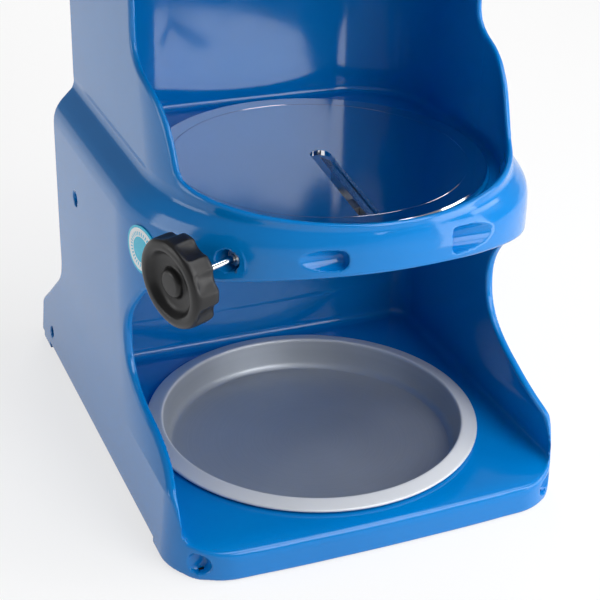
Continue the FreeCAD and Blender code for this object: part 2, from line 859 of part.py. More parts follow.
def root_ring(half_angle):
    """(radius, depth below the apex) of the tooth root at its two ends."""
    length = cone_length()
    radius = length * math.sin(half_angle) - tooth_root * math.cos(half_angle)
    depth = length * math.cos(half_angle) + tooth_root * math.sin(half_angle)
    inner = 1.0 - gear_face / length
    return (radius, depth), (radius * inner, depth * inner)


def bevel_wheel(half_angle, teeth, phase, profile):
    blank = turned(profile)
    tooth = bevel_tooth(half_angle)
    copies = [tooth.copy().rotated(HERE, Z, 360.0 * index / teeth + phase)
              for index in range(teeth)]
    return united([blank] + copies)


def make_drive_gear():
    half_angle = cone_half_angles()[0]
    (outer, deep), (inner, shallow) = root_ring(half_angle)
    back, top, low = gear_back - gear_apex, hub_top - gear_apex, hub_low - gear_apex
    profile = [(0, low), (hub_radius, low), (hub_radius, back), (outer - 2, back),
               (outer - 1.5, back + 2), (outer, -deep), (inner, -shallow),
               (inner - 6, -shallow - 4), (gear_boss, -shallow - 4), (gear_boss, top), (0, top)]
    gear = bevel_wheel(half_angle, gear_teeth, 0.0, profile)
    gear = gear.translated(Z * gear_apex)
    gear = gear.cut(rod(spindle_radius + RUN, hub_low - 1, hub_top + 1))
    return gear.cut(block((-key_half, key_half), (0, key_out), (gear_back, hub_top + 1)))


def make_pinion():
    """Made under the apex like the gear, then laid along +X."""
    half_angle = cone_half_angles()[1]
    (outer, deep), (inner, shallow) = root_ring(half_angle)
    hub_end = lug[0] - 0.4
    profile = [(0, -shallow), (inner, -shallow), (outer, -deep), (outer - 2, -deep - 2),
               (13, -deep - 3), (13, -hub_end), (0, -hub_end)]
    pinion = bevel_wheel(half_angle, pinion_teeth, 180.0 / pinion_teeth, profile)
    pinion.Placement = FreeCAD.Placement(Z * gear_apex, FreeCAD.Rotation(Z * -1, X))
    pinion = pinion.cut(rod(shaft_radius, 0, hub_end + 1, X, Z * gear_apex))
    return pinion.cut(cross_pin(20))


def make_gear_key():
    return block((-key_half, key_half), (spindle_radius - key_deep + 0.2, key_out),
                 (gear_back, hub_top))


def make_spindle():
    spindle = turned([(0, gripper_low), (spindle_radius - 0.6, gripper_low),
                      (spindle_radius, gripper_low + 0.6), (spindle_radius, spindle_top - 2),
                      (spindle_radius - 2, spindle_top), (0, spindle_top)])
    keyway = block((-key_half - 0.1, key_half + 0.1), (spindle_radius - key_deep, 20),
                   (gripper_hub_top + 2, spindle_top + 1))
    return spindle.cut(keyway).cut(rod(arm_bolt + THREAD, gripper_low - 1,
                                       gripper_low + bolt_depth))


def make_gripper():
    plate = turned([(0, gripper_low), (gripper_radius - 1.5, gripper_low),
                    (gripper_radius, gripper_low + 1.5),
                    (gripper_radius, gripper_low + gripper_thick - 1),
                    (gripper_radius - 1, gripper_low + gripper_thick),
                    (gripper_hub + 3, gripper_low + gripper_thick),
                    (gripper_hub, gripper_low + gripper_thick + 3),
                    (gripper_hub - 2, gripper_hub_top), (0, gripper_hub_top)])
    spikes = []
    for index in range(spike_count):
        place = polar(spike_circle, 360.0 * (index + 0.5) / spike_count)
        spikes.append(Part.makeCone(0.8, spike_radius, spike_long + 1,
                                    place + Z * (gripper_low - spike_long)))
    return united([plate] + spikes).cut(rod(spindle_radius, gripper_low - 1, gripper_hub_top + 1))


def make_gripper_washer():
    return tube(washer_radius, arm_bolt + HOLE, gripper_low - washer_thick, gripper_low)


def make_gripper_bolt():
    return screw(bolt_head[0], bolt_head[1], arm_bolt, bolt_depth - 1,
                 Z * (gripper_low - washer_thick), Z)


def make_lower_bush():
    sleeve = tube(lower_bush_radius, hub_radius + RUN, plate_low, plate_top)
    flange = tube(felt_radius, hub_radius + RUN, plate_top, gear_back - end_play)
    return united([sleeve, flange])


def make_upper_bush():
    return tube(upper_bush_radius, nut_radius + RUN, bush_low, boss_top)


def make_nut():
    return tube(nut_radius, spindle_radius + RUN, nut_low, nut_top)


def make_nut_clip():
    return tube(upper_bush_radius + 0.5, nut_radius, nut_low + 0.5, bush_low - end_play)


def make_felt():
    return tube(felt_radius, nut_radius + 1, boss_top, wheel_low - end_play)


def make_wheel():
    middle = wheel_top - wheel_rim - 0.1
    hub = turned([(0, wheel_low), (wheel_hub, wheel_low), (wheel_hub, wheel_top - 4),
                  (wheel_hub - 2, wheel_top - 2), (0, wheel_top - 2)])
    corners = [math.radians(360.0 * (index + 0.5) / rim_corners) for index in range(rim_corners)]
    rim = turned([(wheel_ring + wheel_rim * math.cos(a), middle + wheel_rim * math.sin(a))
                  for a in corners])
    spokes = [rod(spoke_radius, (wheel_hub + nut_radius) / 2, wheel_ring,
                  polar(1, 360.0 * index / wheel_spokes + 90), Z * (middle - spoke_drop))
              for index in range(wheel_spokes)]
    wheel = united([hub, rim] + spokes)
    wheel = wheel.cut(rod(nut_radius, wheel_low - 1, wheel_top + 1))
    return wheel.cut(rod(wheel_screw + THREAD, nut_radius - 1, wheel_hub + 1, Y * -1,
                         Z * (wheel_low + wheel_screw_rise)))


def make_wheel_screw():
    return rod(wheel_screw, nut_radius, wheel_hub - 1, Y * -1, Z * (wheel_low + wheel_screw_rise))


# --------------------------------------------------------------------- cover
def make_cover():
    rear = back_inner + back_wall
    shell = prism(u_plan(neck_half, neck_half + 0.01, neck_centre, rear, head_top),
                  cover_top - head_top)
    rim = [edge for edge in shell.Edges if edge.BoundBox.ZMin > cover_top - 0.01]
    shell = shell.makeFillet(6, rim)
    shell = shell.cut(prism(u_plan(neck_half, neck_half + 0.01, neck_centre, rear - wall,
                                   head_top - 1, wall), cover_top - wall - head_top + 1))
    boss_shape = turned([(0, bush_low), (22, bush_low), (22, cover_top), (25, cover_top),
                         (23, boss_top), (0, boss_top)])
    posts = [rod(post_radius, head_top, cover_top - 1, Z, Vector(x, y, 0)) for x, y in cover_screws]
    cover = united([shell, boss_shape] + posts)
    cover = cover.cut(rod(upper_bush_radius, bush_low - 1, boss_top + 1))
    for x, y in cover_screws:
        cover = cover.cut(rod(cover_screw + HOLE, head_top - 1, cover_top + 1, Z, Vector(x, y, 0)))
    return cover


def make_cover_screws():
    return group([screw(1.84 * cover_screw, 3, cover_screw, cover_deep + cover_screw_deep - 4,
                        Vector(x, y, cover_top), Z * -1) for x, y in cover_screws])


# --------------------------------------------------------------------- crank
def crank_rod(radius, start, end, above=0.0):
    return rod(radius, start, end, X, Vector(0, 0, gear_apex + above))


def cross_pin(half_long):
    return rod(pin_radius, -half_long, half_long, Z, Vector(pin_place, 0, gear_apex))


def shaft_blank():
    """Shaft with the flat that the arm's hub fits, before it is drilled."""
    shaft = crank_rod(shaft_radius, shaft_start, shaft_end)
    return shaft.cut(block((arm_hub[0], shaft_end + 1), (-20, 20),
                           (gear_apex + shaft_flat, gear_apex + 20)))


def make_shaft():
    shaft = shaft_blank().cut(cross_pin(20))
    return shaft.cut(crank_rod(arm_bolt + THREAD, shaft_end - bolt_depth, shaft_end + 1))


def make_pinion_pin():
    return cross_pin(13)


def shaft_bearing(span):
    return crank_rod(shaft_bush, span[0], span[1]).cut(
        crank_rod(shaft_radius + RUN, span[0] - 1, span[1] + 1))


def make_inner_bush():
    return shaft_bearing(lug)


def make_outer_bush():
    return shaft_bearing(boss)


def make_shaft_collar():
    radius, wide = collar_wide
    start = lug[1] + end_play
    return crank_rod(radius, start, start + wide).cut(
        crank_rod(shaft_radius, start - 1, start + wide + 1))


def make_arm():
    hub = crank_rod(arm_hub_radius, arm_hub[0], arm_hub[1])
    end = crank_rod(arm_end_radius, arm[0], arm[1], arm_length)
    half, narrow = arm_hub_radius * arm_taper, arm_end_radius * arm_taper
    web = polygon([Vector(arm[0], -half, gear_apex), Vector(arm[0], half, gear_apex),
                   Vector(arm[0], narrow, gear_apex + arm_length),
                   Vector(arm[0], -narrow, gear_apex + arm_length)])
    web = web.extrude(X * (arm[1] - arm[0]))
    body = united([hub, end, web])
    pin_bore = crank_rod(grip_pin_radius, arm[0] - 1, arm[1] + 1, arm_length)
    return body.cut(shaft_blank()).cut(pin_bore)


def make_arm_washer():
    return crank_rod(washer_radius, arm_hub[1], arm_hub[1] + washer_thick).cut(
        crank_rod(arm_bolt + HOLE, arm_hub[1] - 1, arm_hub[1] + washer_thick + 1))


def make_arm_bolt():
    return screw(bolt_head[0], bolt_head[1], arm_bolt, bolt_depth,
                 Vector(arm_hub[1] + washer_thick, 0, gear_apex), X * -1)


def make_grip_pin():
    head = crank_rod(grip_head_radius, grip_head_start, grip_head_start + grip_head_long,
                     arm_length)
    body = crank_rod(grip_pin_radius, arm[0] - grip_nut_long - 1, grip_head_start, arm_length)
    return united([body, head])


def make_grip_nut():
    return crank_rod(grip_nut_radius, arm[0] - grip_nut_long, arm[0], arm_length).cut(
        crank_rod(grip_pin_radius, arm[0] - grip_nut_long - 1, arm[0] + 1, arm_length))


def make_grip():
    grip = turned([(0, 0), (grip_radius - 4, 0), (grip_radius - 2.5, 1.5),
                   (grip_radius - 2, grip_long * 0.25), (grip_radius, grip_long * 0.6),
                   (grip_radius - 0.5, grip_long - 8), (grip_radius - 3, grip_long - 1.5),
                   (grip_radius - 4.5, grip_long), (0, grip_long)])
    grip = grip.cut(rod(grip_pin_radius + RUN, -1, grip_long + 1))
    return aimed(grip, Vector(grip_start, 0, gear_apex + arm_length), X)


NODES = {
    "casting_base": make_casting_base, "casting_bay": make_casting_bay,
    "casting_ring": make_casting_ring, "casting_chamber": make_casting_chamber,
    "casting_head": make_casting_head,
    "rubber_feet": make_feet, "foot_screws": make_foot_screws,
    "drip_tray": make_tray, "badge": make_badge,
    "blade_disc": make_disc, "disc_screws": make_disc_screws,
    "guide_yokes": make_yokes, "yoke_screws": make_yoke_screws, "guide_pins": make_guide_pins,
    "blade_carriage": make_carriage, "ice_blade": make_blade, "blade_clamp": make_clamp,
    "clamp_screws": make_clamp_screws,
    "stem_bush": make_stem_bush, "adjuster_stem": make_stem, "stem_collars": make_collars,
    "adjuster_knob": make_knob,
    "drive_gear": make_drive_gear, "gear_key": make_gear_key, "lower_bush": make_lower_bush,
    "spindle": make_spindle, "gripper_plate": make_gripper,
    "gripper_washer": make_gripper_washer, "gripper_bolt": make_gripper_bolt,
    "head_cover": make_cover, "cover_screws": make_cover_screws, "upper_bush": make_upper_bush,
    "felt_washer": make_felt, "feed_nut": make_nut, "nut_clip": make_nut_clip,
    "feed_wheel": make_wheel, "wheel_screw": make_wheel_screw,
    "crank_shaft": make_shaft, "bevel_pinion": make_pinion, "pinion_pin": make_pinion_pin,
    "inner_bush": make_inner_bush, "outer_bush": make_outer_bush,
    "shaft_collar": make_shaft_collar, "crank_arm": make_arm, "arm_washer": make_arm_washer,
    "arm_bolt": make_arm_bolt, "grip_pin": make_grip_pin, "grip_nut": make_grip_nut,
    "crank_grip": make_grip,
}

os.makedirs("parts", exist_ok=True)
for name, make in NODES.items():
    make().exportStep("parts/" + name + ".step")
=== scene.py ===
"""Hand-cranked ice shaver in blue enamel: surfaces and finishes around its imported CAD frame."""

import math

import bmesh
import bpy
import numpy as np
from mathutils import Matrix, Vector


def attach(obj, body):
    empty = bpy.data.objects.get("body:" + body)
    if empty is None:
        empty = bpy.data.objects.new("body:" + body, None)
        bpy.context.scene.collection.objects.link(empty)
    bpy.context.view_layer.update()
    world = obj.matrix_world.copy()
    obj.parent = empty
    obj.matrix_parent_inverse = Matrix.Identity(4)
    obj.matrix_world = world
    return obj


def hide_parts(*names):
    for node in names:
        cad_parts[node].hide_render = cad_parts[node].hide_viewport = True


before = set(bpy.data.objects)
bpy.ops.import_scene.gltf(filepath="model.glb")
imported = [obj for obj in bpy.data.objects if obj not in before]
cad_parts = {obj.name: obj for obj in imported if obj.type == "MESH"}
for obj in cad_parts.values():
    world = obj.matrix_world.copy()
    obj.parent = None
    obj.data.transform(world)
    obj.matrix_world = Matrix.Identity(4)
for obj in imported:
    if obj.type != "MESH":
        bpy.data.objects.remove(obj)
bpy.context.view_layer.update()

MM = 0.001


# --- frame casting ---------------------------------------------------------------------------
# One aluminium sand casting: base with its lip, deck, side walls, back wall, round ring shelf,
# chamber and gear head.  It is dipped in gloss blue enamel, which rounds every edge.

def through(points, at):
    """Smooth curve through (place, value) points: on each span the cubic whose end slopes are the
    mean slopes of the neighbouring spans.  Gives the value and the slope at each place."""
    place, value = np.array(points, float).T
    slope = np.gradient(value, place)
    at = np.clip(at, place[0], place[-1])
    i = np.clip(np.searchsorted(place, at) - 1, 0, len(place) - 2)
    h = (place[1:] - place[:-1])[i]
    t = (at - place[i]) / h
    a, b, m, n = value[i], value[i + 1], slope[i] * h, slope[i + 1] * h
    curve = a + t * (m + t * (3 * (b - a) - 2 * m - n + t * (2 * (a - b) + m + n)))
    rate = (m + t * (2 * (3 * (b - a) - 2 * m - n) + 3 * t * (2 * (a - b) + m + n))) / h
    return curve, rate


def meet(a, b, soft):
    """Both at once: the larger distance, with the corner eased over the soft width."""
    h = np.maximum(soft - np.abs(a - b), 0) / soft
    return np.maximum(a, b) + h * h * soft / 4


def join(a, b, soft):
    """Either one: the smaller distance, with the inner corner filled over the soft width."""
    return -meet(-a, -b, soft)


def behind(points, y, z):
    """Distance to a profile drawn as y over z, negative in front of it."""
    edge, rate = through(points, z)
    return (y - edge) / np.sqrt(1 + rate * rate)


WALL = 4.0
DECK = 22.0
HEAD_TOP, CHAMBER_TOP, PLATE_TOP = 432, 372, 380
SHELF, RIM_TOP, MOUTH_TOP = 199.5, 212, 375
BAY_TOP, RING_FOOT = 182, 176
CHAMBER_RADIUS, UNDER_RADIUS, BAY_RADIUS = 106.0, 106.0, 119.4
CORNER_FRONT, CORNER_REAR, CHAMBER_CORNER = 36.0, 8.0, 50
POST_X, POST_FRONT, POST_REAR = 106, -97, 190
FLARE = ((0, 127.9), (6, 127.6), (20, 126.6), (45, 125.2), (78, 124.2), (100, 124.2))
BAY_EDGE = ((6, -125), (13, -123), (17.5, -120.8), (20.3, -117.8), (21.8, -113.6), (23, -109),
            (26, -105), (31, -102), (38.5, -97.5), (46, -93), (50, -88.5), (54, -80), (58, -71),
            (62, -61), (66, -50), (70, -38), (74, -28.5), (78, -21.5), (84, -14.5), (92, -9),
            (101, -6.5), (112, -6), (124, -10), (136, -19), (156, -40), (168, -62), (174, -84),
            (184, -119.5), (190, -150), (196, -190))
RIM_EDGE = ((205, -230), (209, -150), (211.3, -118), (212.8, -105), (214.4, -88), (216.2, -72),
            (217.7, -61), (219.5, -53), (224, -46), (229, -43), (234, -41), (239, -38.6),
            (244, -36), (249, -32.7), (254, -28), (259, -22), (264, -12.5), (269, 1), (274, 8),
            (279, 11), (285, 12), (296, 12), (307, 12), (313, 11), (318, 8), (323, 1), (328, -12.5),
            (333, -22), (338, -28), (343, -32.7), (348, -36), (353, -38.6), (358, -41), (363, -44),
            (368, -49), (371.5, -62), (373, -90), (373.6, -150), (374, -230))
REAR_EDGE = ((0, 212), (18, 212), (26, 210), (33, 203), (44, 189), (57, 173), (68, 159.5),
             (76, 153), (85, 150), (100, 150))
SHOULDER = ((182, 124.4), (188, 124.2), (194, 122.9), (200, 119.4), (205, 114.6), (208.5, 111.3),
            (212, 110), (217, 110))
ARC_CENTRE = ((182, 5), (188, 4.9), (194, 3.8), (200, 1.1), (205, -2.6), (208.5, -5), (213, -8.2),
              (219, -8.6), (234, -5.8), (249, -2.4), (264, 2), (296, 3), (328, 2), (343, -2.4),
              (358, -5.8), (372, -6), (432, -6))
INNER_CENTRE = ((199, -2.6), (204, -2.6), (209, -4.0), (213, -6.4), (219, -8.6)) + ARC_CENTRE[8:]
BACK = 112.5
SCREW_AXIS = np.array([math.cos(math.radians(4)) * math.cos(math.radians(18)),
                       math.cos(math.radians(4)) * math.sin(math.radians(18)),
                       math.sin(math.radians(4))])
SCREW_HOLE = np.array([-88.0, -82.5, 186.5])
CRANK_HEIGHT = 412.0


def arched(x, y, centre, radius, power=2.0):
    """Distance to a plan with straight sides and a round front, which a power over 2 squares up
    a little at its shoulders."""
    ahead = np.maximum(centre - y, 0)
    return (np.abs(x) ** power + ahead ** power) ** (1 / power) - radius


def cornered(x, y, half, front, rear, round_front, round_rear):
    """Distance to a rectangular plan with rounded corners, its front bowed by 3 mm."""
    front = front + 3 * (x / 105) ** 2
    near = y < 40
    radius = np.where(near, round_front, round_rear)
    across = np.abs(x) - (half - radius)
    along = np.where(near, front + radius - y, y - rear + radius)
    outside = np.hypot(np.maximum(across, 0), np.maximum(along, 0))
    return outside + np.minimum(np.maximum(across, along), 0) - radius


def pin_distance(x, y, z, centre, axis, radius, start, end, soft=0.6):
    """Distance to a round bar along a unit axis, between two places on it."""
    dx, dy, dz = x - centre[0], y - centre[1], z - centre[2]
    along = dx * axis[0] + dy * axis[1] + dz * axis[2]
    away = np.sqrt(np.maximum(dx * dx + dy * dy + dz * dz - along * along, 0))
    return meet(away - radius, meet(start - along, along - end, 0.1), soft)


def casting_distance(x, y, z):
    """Distance to the casting's surface in mm, negative in the metal: the outer form, less its
    hollows and edge cuts, plus its bosses, less its holes."""
    side = np.abs(x)
    half = through(FLARE, z)[0]
    radius, lean = through(SHOULDER, z)
    centre = through(ARC_CENTRE, z)[0]
    rear = behind(REAR_EDGE, y, z)
    upright = np.clip((z - 48) / 60, 0, 1)
    square = 2 + 0.2 * np.clip((RIM_TOP - z) / 15, 0, 1) * np.clip(x / 40, 0, 1)
    toe = -119.6 - 1.4 * np.clip(z / 18, 0, 1)
    low_plan = cornered(x, y, half, toe, 212.0, CORNER_FRONT, CORNER_REAR)
    high_plan = arched(x, y, centre, radius, square) / np.sqrt(1 + lean * lean)
    plan = low_plan * (1 - upright) + high_plan * upright
    bottom = np.where(((y < -66) | ((y > 182) & (y < 201))), 0.6, 4.2)
    form = meet(meet(plan, rear, 3), meet(bottom - z, z - HEAD_TOP, 0.1), 2)

    # bowl bay, with the front cut away and a soft corner to the deck and the back wall
    inner = cornered(x, y, half - 5, -126, BACK, 31.0, 14.0) * (1 - upright) \
        + arched(x, y, 5.0, BAY_RADIUS, square) * upright
    back_corner = cornered(x, np.maximum(y, 60.0), half - 5, -119.6, BACK, 23.0, 14.0)
    bay = meet(meet(inner, back_corner, 2), meet(DECK - z, z - BAY_TOP, 0.1), 7)
    under_ring = meet(meet(arched(x, y, 0, UNDER_RADIUS), y - UNDER_RADIUS, 6),
                      meet(RING_FOOT - z, z - 195, 0.1), 5)
    bow = 3 * (x / 105) ** 2 * np.clip((27 - z) / 6, 0, 1)
    front = behind(BAY_EDGE, y - bow, z)
    form = meet(form, -join(bay, under_ring, 3), 1.6)
    form = meet(form, -front, 2.4)

    # ice chamber over the shelf, the recess round the disc, and the open mouth above the rim
    inner_centre = through(INNER_CENTRE, z)[0]
    corner = np.hypot(np.maximum(side - (CHAMBER_RADIUS - CHAMBER_CORNER), 0),
                      np.maximum(y - (BACK - CHAMBER_CORNER), 0)) - CHAMBER_CORNER
    hollow = meet(arched(x, y, inner_centre, CHAMBER_RADIUS),
                  np.where(y > 0, corner, y - BACK), 0.5)
    chamber = meet(hollow, meet(SHELF - z, z - CHAMBER_TOP, 0.1), 5)
    recess = meet(np.hypot(x, y) - 111.2, meet(SHELF - z, z - 214, 0.1), 4)
    recess = meet(recess, y + 58, 12)
    gear_room = meet(hollow, PLATE_TOP - z, 4)
    mouth = np.maximum(behind(RIM_EDGE, y, z), z - MOUTH_TOP)
    form = meet(form, -join(chamber, recess, 3), 2.4)
    form = meet(form, -gear_room, 1.5)
    form = meet(form, -mouth, 3.4)

    # open back behind the column, and the hollow under the deck
    rear_half = np.minimum(half, radius) - WALL
    well = meet(side - rear_half, 117 - y, 8)
    form = meet(form, -meet(well, meet(18.5 - z, y - 208, 4), 5), 2)
    form = meet(form, -meet(well, meet(22 - z, y - 300, 1), 1), 2)
    form = meet(form, -meet(low_plan + WALL, z - 14.5, 3), 1.5)

    # bosses: disc seat, foot posts, head posts, crank lug and boss, screw lug
    ring = np.hypot(x, y)
    form = join(form, meet(meet(ring - 101.5, z - 201, 0.6), 195.5 - z, 0.5), 0.6)
    foot = np.hypot(side - POST_X, np.minimum(np.abs(y - POST_FRONT), np.abs(y - POST_REAR)))
    form = join(form, meet(foot - 13, meet(0.6 - z, z - 17, 0.5), 0.8), 2)
    posts = np.minimum(np.hypot(side - 94, y + 28), np.hypot(side - 90, y - 95)) - 7
    form = join(form, meet(posts, meet(PLATE_TOP - 2 - z, z - HEAD_TOP, 0.1), 0.5), 3)
    lug = meet(np.abs(y) - 16, np.hypot(y, np.maximum(z - CRANK_HEIGHT, 0)) - 16, 0.5)
    form = join(form, meet(lug, meet(np.abs(x - 68) - 6, PLATE_TOP - 2 - z, 0.5), 1), 3)
    x_axis = (1.0, 0.0, 0.0)
    form = join(form, pin_distance(x, y, z, (0, 0, CRANK_HEIGHT), x_axis, 18, 100, 114, 1.5), 3)
    form = join(form, pin_distance(x, y, z, SCREW_HOLE, SCREW_AXIS, 9, 5.5, 20), 2)

    # holes
    pocket_right = pin_distance(x, y, z, (0, -113.6, 194.6), x_axis, 7.0, 31, 124, 2)
    pocket_left = pin_distance(-x, y, z, (0, -111.8, 192.4), x_axis, 5.7, 30, 124, 5)
    holes = [pocket_right, pocket_left,
             np.maximum(ring - 90, np.maximum(194 - z, z - 203)),
             np.maximum(np.hypot(x, y + 2) - 99.2, z - 24),
             pin_distance(side, y, z, (0, 178, 16), x_axis, 4, 121, 140),
             pin_distance(side, y, z, (0, 98.5, 152.5), x_axis, 4.6, 117, 140),
             pin_distance(side, y, z, (113.6, -109, 11.4), (0.0, -1.0, 0), 6.6, -5, 12, 3),
             np.maximum(ring - 19, np.maximum(371 - z, z - 381)),
             pin_distance(x, y, z, (0, 0, CRANK_HEIGHT), x_axis, 10, 61, 115, 0.2),
             pin_distance(x, y, z, SCREW_HOLE, SCREW_AXIS, 6.3, -14, 9.5, 0.4),
             pin_distance(x, y, z, SCREW_HOLE, SCREW_AXIS, 4.5, 0, 26, 0.2),
             np.maximum(foot - 10.3, z - 5)]
    for hole in holes:
        form = meet(form, -hole, 0.7)
    return form


def gradient(distance, at, reach=0.35):
    """Unit outward direction at each point, from differences either side of it."""
    slopes = []
    for axis in range(3):
        move = np.zeros(3)
        move[axis] = reach
        slopes.append(distance(*(at + move).T) - distance(*(at - move).T))
    slopes = np.stack(slopes, 1)
    return slopes / np.maximum(np.linalg.norm(slopes, axis=1, keepdims=True), 1e-9)


def settle(distance, at, rounds, reach):
    """Move points onto the surface: each step goes back along the gradient by the distance, and
    no further than the reach."""
    for _ in range(rounds):
        step = distance(*at.T)
        at = at - gradient(distance, at) * np.clip(step, -reach, reach)[:, None]
    return at


def facing(distance, points, faces):
    """Unit normal at each point: the gradient of the distance, or the mean of the faces round it
    where the gradient turns away from them, as on a thin edge."""
    sides = np.array([side[:3] for side in faces])
    first, second, third = (points[sides[:, i]] for i in range(3))
    flat = np.cross(second - first, third - first)
    mean = np.zeros_like(points)
    for i in range(3):
        np.add.at(mean, sides[:, i], flat)
    mean /= np.maximum(np.linalg.norm(mean, axis=1, keepdims=True), 1e-12)
    slope = gradient(distance, points, 0.4)
    agree = (slope * mean).sum(1, keepdims=True) > 0.8
    return np.where(agree, slope, mean)


def skin(distance, low, high, cell):
    """Closed mesh of a distance function: a vertex in every cell that the surface passes, at the
    mean of the places where it crosses the cell's edges, and a quad round every crossed edge."""
    axes = [np.arange(a, b + cell, cell) for a, b in zip(low, high)]
    slabs = [distance(axes[0][:, None, None], axes[1][None, :, None], part[None, None, :])
             for part in np.array_split(axes[2], 12)]
    field = np.concatenate([slab.astype(np.float32) for slab in slabs], 2)
    inside = field < 0
    corners = [(i, j, k) for i in (0, 1) for j in (0, 1) for k in (0, 1)]
    shape = [n - 1 for n in field.shape]

    def shifted(array, corner):
        return array[tuple(slice(c, c + n) for c, n in zip(corner, shape))]

    count = sum(shifted(inside, corner).astype(np.int8) for corner in corners)
    mixed = (count > 0) & (count < 8)
    cells = np.argwhere(mixed)
    number = np.full(shape, -1, np.int32)
    number[mixed] = np.arange(len(cells))
    values = np.stack([shifted(field, corner)[mixed] for corner in corners], 1)
    total, crossings = np.zeros((len(cells), 3)), np.zeros((len(cells), 1))
    for a, first in enumerate(corners):
        for b, second in enumerate(corners):
            if b <= a or sum(abs(p - q) for p, q in zip(first, second)) != 1:
                continue
            crossed = ((values[:, a] < 0) != (values[:, b] < 0))[:, None]
            share = values[:, a] / np.where(crossed[:, 0], values[:, a] - values[:, b], 1)
            place = np.array(first) + share[:, None] * (np.array(second) - np.array(first))
            total += np.where(crossed, place, 0)
            crossings += crossed
    points = np.array(low) + cell * (cells + total / crossings)
    quads = []
    for axis in range(3):
        u, v = (axis + 1) % 3, (axis + 2) % 3
        ahead = [slice(None)] * 3
        ahead[axis] = slice(1, None)
        here = [slice(None)] * 3
        here[axis] = slice(None, -1)
        change = inside[tuple(here)] != inside[tuple(ahead)]
        place = np.argwhere(change)
        place = place[(place[:, u] > 0) & (place[:, v] > 0) & (place[:, u] < shape[u])
                      & (place[:, v] < shape[v])]
        ring = []
        for du, dv in ((-1, -1), (0, -1), (0, 0), (-1, 0)):
            spot = place.copy()
            spot[:, u] += du
            spot[:, v] += dv
            ring.append(number[tuple(spot.T)])
        ring = np.stack(ring, 1)
        outward = inside[tuple(place.T)]
        quads.append(np.where(outward[:, None], ring, ring[:, ::-1]))
    return points, np.concatenate(quads)


CREASE = math.radians(35)


def piece(name, points, faces, body, nodes, finish, normals=None):
    """New object from points in mm and faces, riding on a body and standing for the CAD nodes
    named, with spaces between.  Without normals of its own, doubled points are merged, and edges
    sharper than the crease angle stay sharp."""
    mesh = bpy.data.meshes.new(name)
    mesh.from_pydata((np.asarray(points) * MM).tolist(), [], [list(face) for face in faces])
    if normals is None:
        work = bmesh.new()
        work.from_mesh(mesh)
        bmesh.ops.remove_doubles(work, verts=work.verts, dist=2e-6)
        bmesh.ops.dissolve_degenerate(work, edges=work.edges, dist=1e-7)
        work.to_mesh(mesh)
        work.free()
    mesh.validate()
    mesh.shade_smooth()
    if normals is None:
        mesh.set_sharp_from_angle(angle=CREASE)
    else:
        mesh.normals_split_custom_set_from_vertices(normals.tolist())
    made = bpy.data.objects.new(name, mesh)
    bpy.context.scene.collection.objects.link(made)
    mesh.materials.append(finish.material)
    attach(made, body)
    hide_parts(*nodes.split())
    return made


def largest(points, faces):
    """Only the biggest connected part of a surface: each point takes the lowest number that it
    can reach along the faces, and the commonest number stays."""
    label = np.arange(len(points))
    while True:
        lowest = label[faces].min(1)
        fresh = label.copy()
        np.minimum.at(fresh, faces.ravel(), np.repeat(lowest, faces.shape[1]))
        fresh = fresh[fresh]
        if (fresh == label).all():
            break
        label = fresh
    keep = label == np.bincount(label).argmax()
    number = np.cumsum(keep) - 1
    return points[keep], number[faces[keep[faces[:, 0]]]]


def thinned(points, faces, keep):
    """The same surface with fewer faces: flat parts lose theirs first."""
    mesh = bpy.data.meshes.new("raw")
    mesh.from_pydata(points.tolist(), [], faces.tolist())
    raw = bpy.data.objects.new("raw", mesh)
    bpy.context.scene.collection.objects.link(raw)
    cut = raw.modifiers.new("cut", "DECIMATE")
    cut.ratio = keep
    done = raw.evaluated_get(bpy.context.evaluated_depsgraph_get()).to_mesh()
    spots = np.empty(len(done.vertices) * 3)
    done.vertices.foreach_get("co", spots)
    sides = [tuple(face.vertices) for face in done.polygons]
    raw.to_mesh_clear()
    bpy.data.objects.remove(raw)
    bpy.data.meshes.remove(mesh)
    return spots.reshape(-1, 3), sides


class Socket:
    """A value on its way through a material: arithmetic on it adds Math nodes."""

    def __init__(self, tree, out):
        self.tree, self.out = tree, out

    def sum_with(self, operation, *others):
        inputs = {str(i): value for i, value in enumerate((self,) + others)}
        return add_node(self.tree, "ShaderNodeMath", {"operation": operation}, **inputs)

    def __add__(self, other):
        return self.sum_with("ADD", other)

    def __mul__(self, other):
        return self.sum_with("MULTIPLY", other)

    def __sub__(self, other):
        return self.sum_with("SUBTRACT", other)

    def __rsub__(self, other):
        return (self * -1.0) + other

    def __pow__(self, other):
        return self.sum_with("POWER", other)

    __radd__ = __add__
    __rmul__ = __mul__

    def over(self, edge):
        return self.sum_with("GREATER_THAN", edge)

    def mod(self, period):
        return self.sum_with("FLOORED_MODULO", period)

    def size(self):
        return self.sum_with("ABSOLUTE")

    def ramp(self, low, high, start=0.0, end=1.0):
        """Straight change from start to end as this goes from low to high."""
        return add_node(self.tree, "ShaderNodeMapRange", {"clamp": True}, Value=self,
                        **{"From Min": low, "From Max": high, "To Min": start, "To Max": end})

    def colour(self, first, second):
        """Mix of two colours, by this value."""
        inputs = {"Factor": self, "6": first, "7": second}
        return add_node(self.tree, "ShaderNodeMix", {"data_type": "RGBA"}, output=2, **inputs)


def add_node(tree, kind, settings=None, output=0, **inputs):
    """Any node: its settings are made first, then its sockets are given values or links."""
    node = tree.nodes.new(kind)
    for key, value in (settings or {}).items():
        setattr(node, key, value)
    for key, value in inputs.items():
        socket = node.inputs[int(key)] if key.isdigit() else node.inputs[key]
        if isinstance(value, Socket):
            tree.links.new(value.out, socket)
        else:
            socket.default_value = value
    return Socket(tree, node.outputs[output])


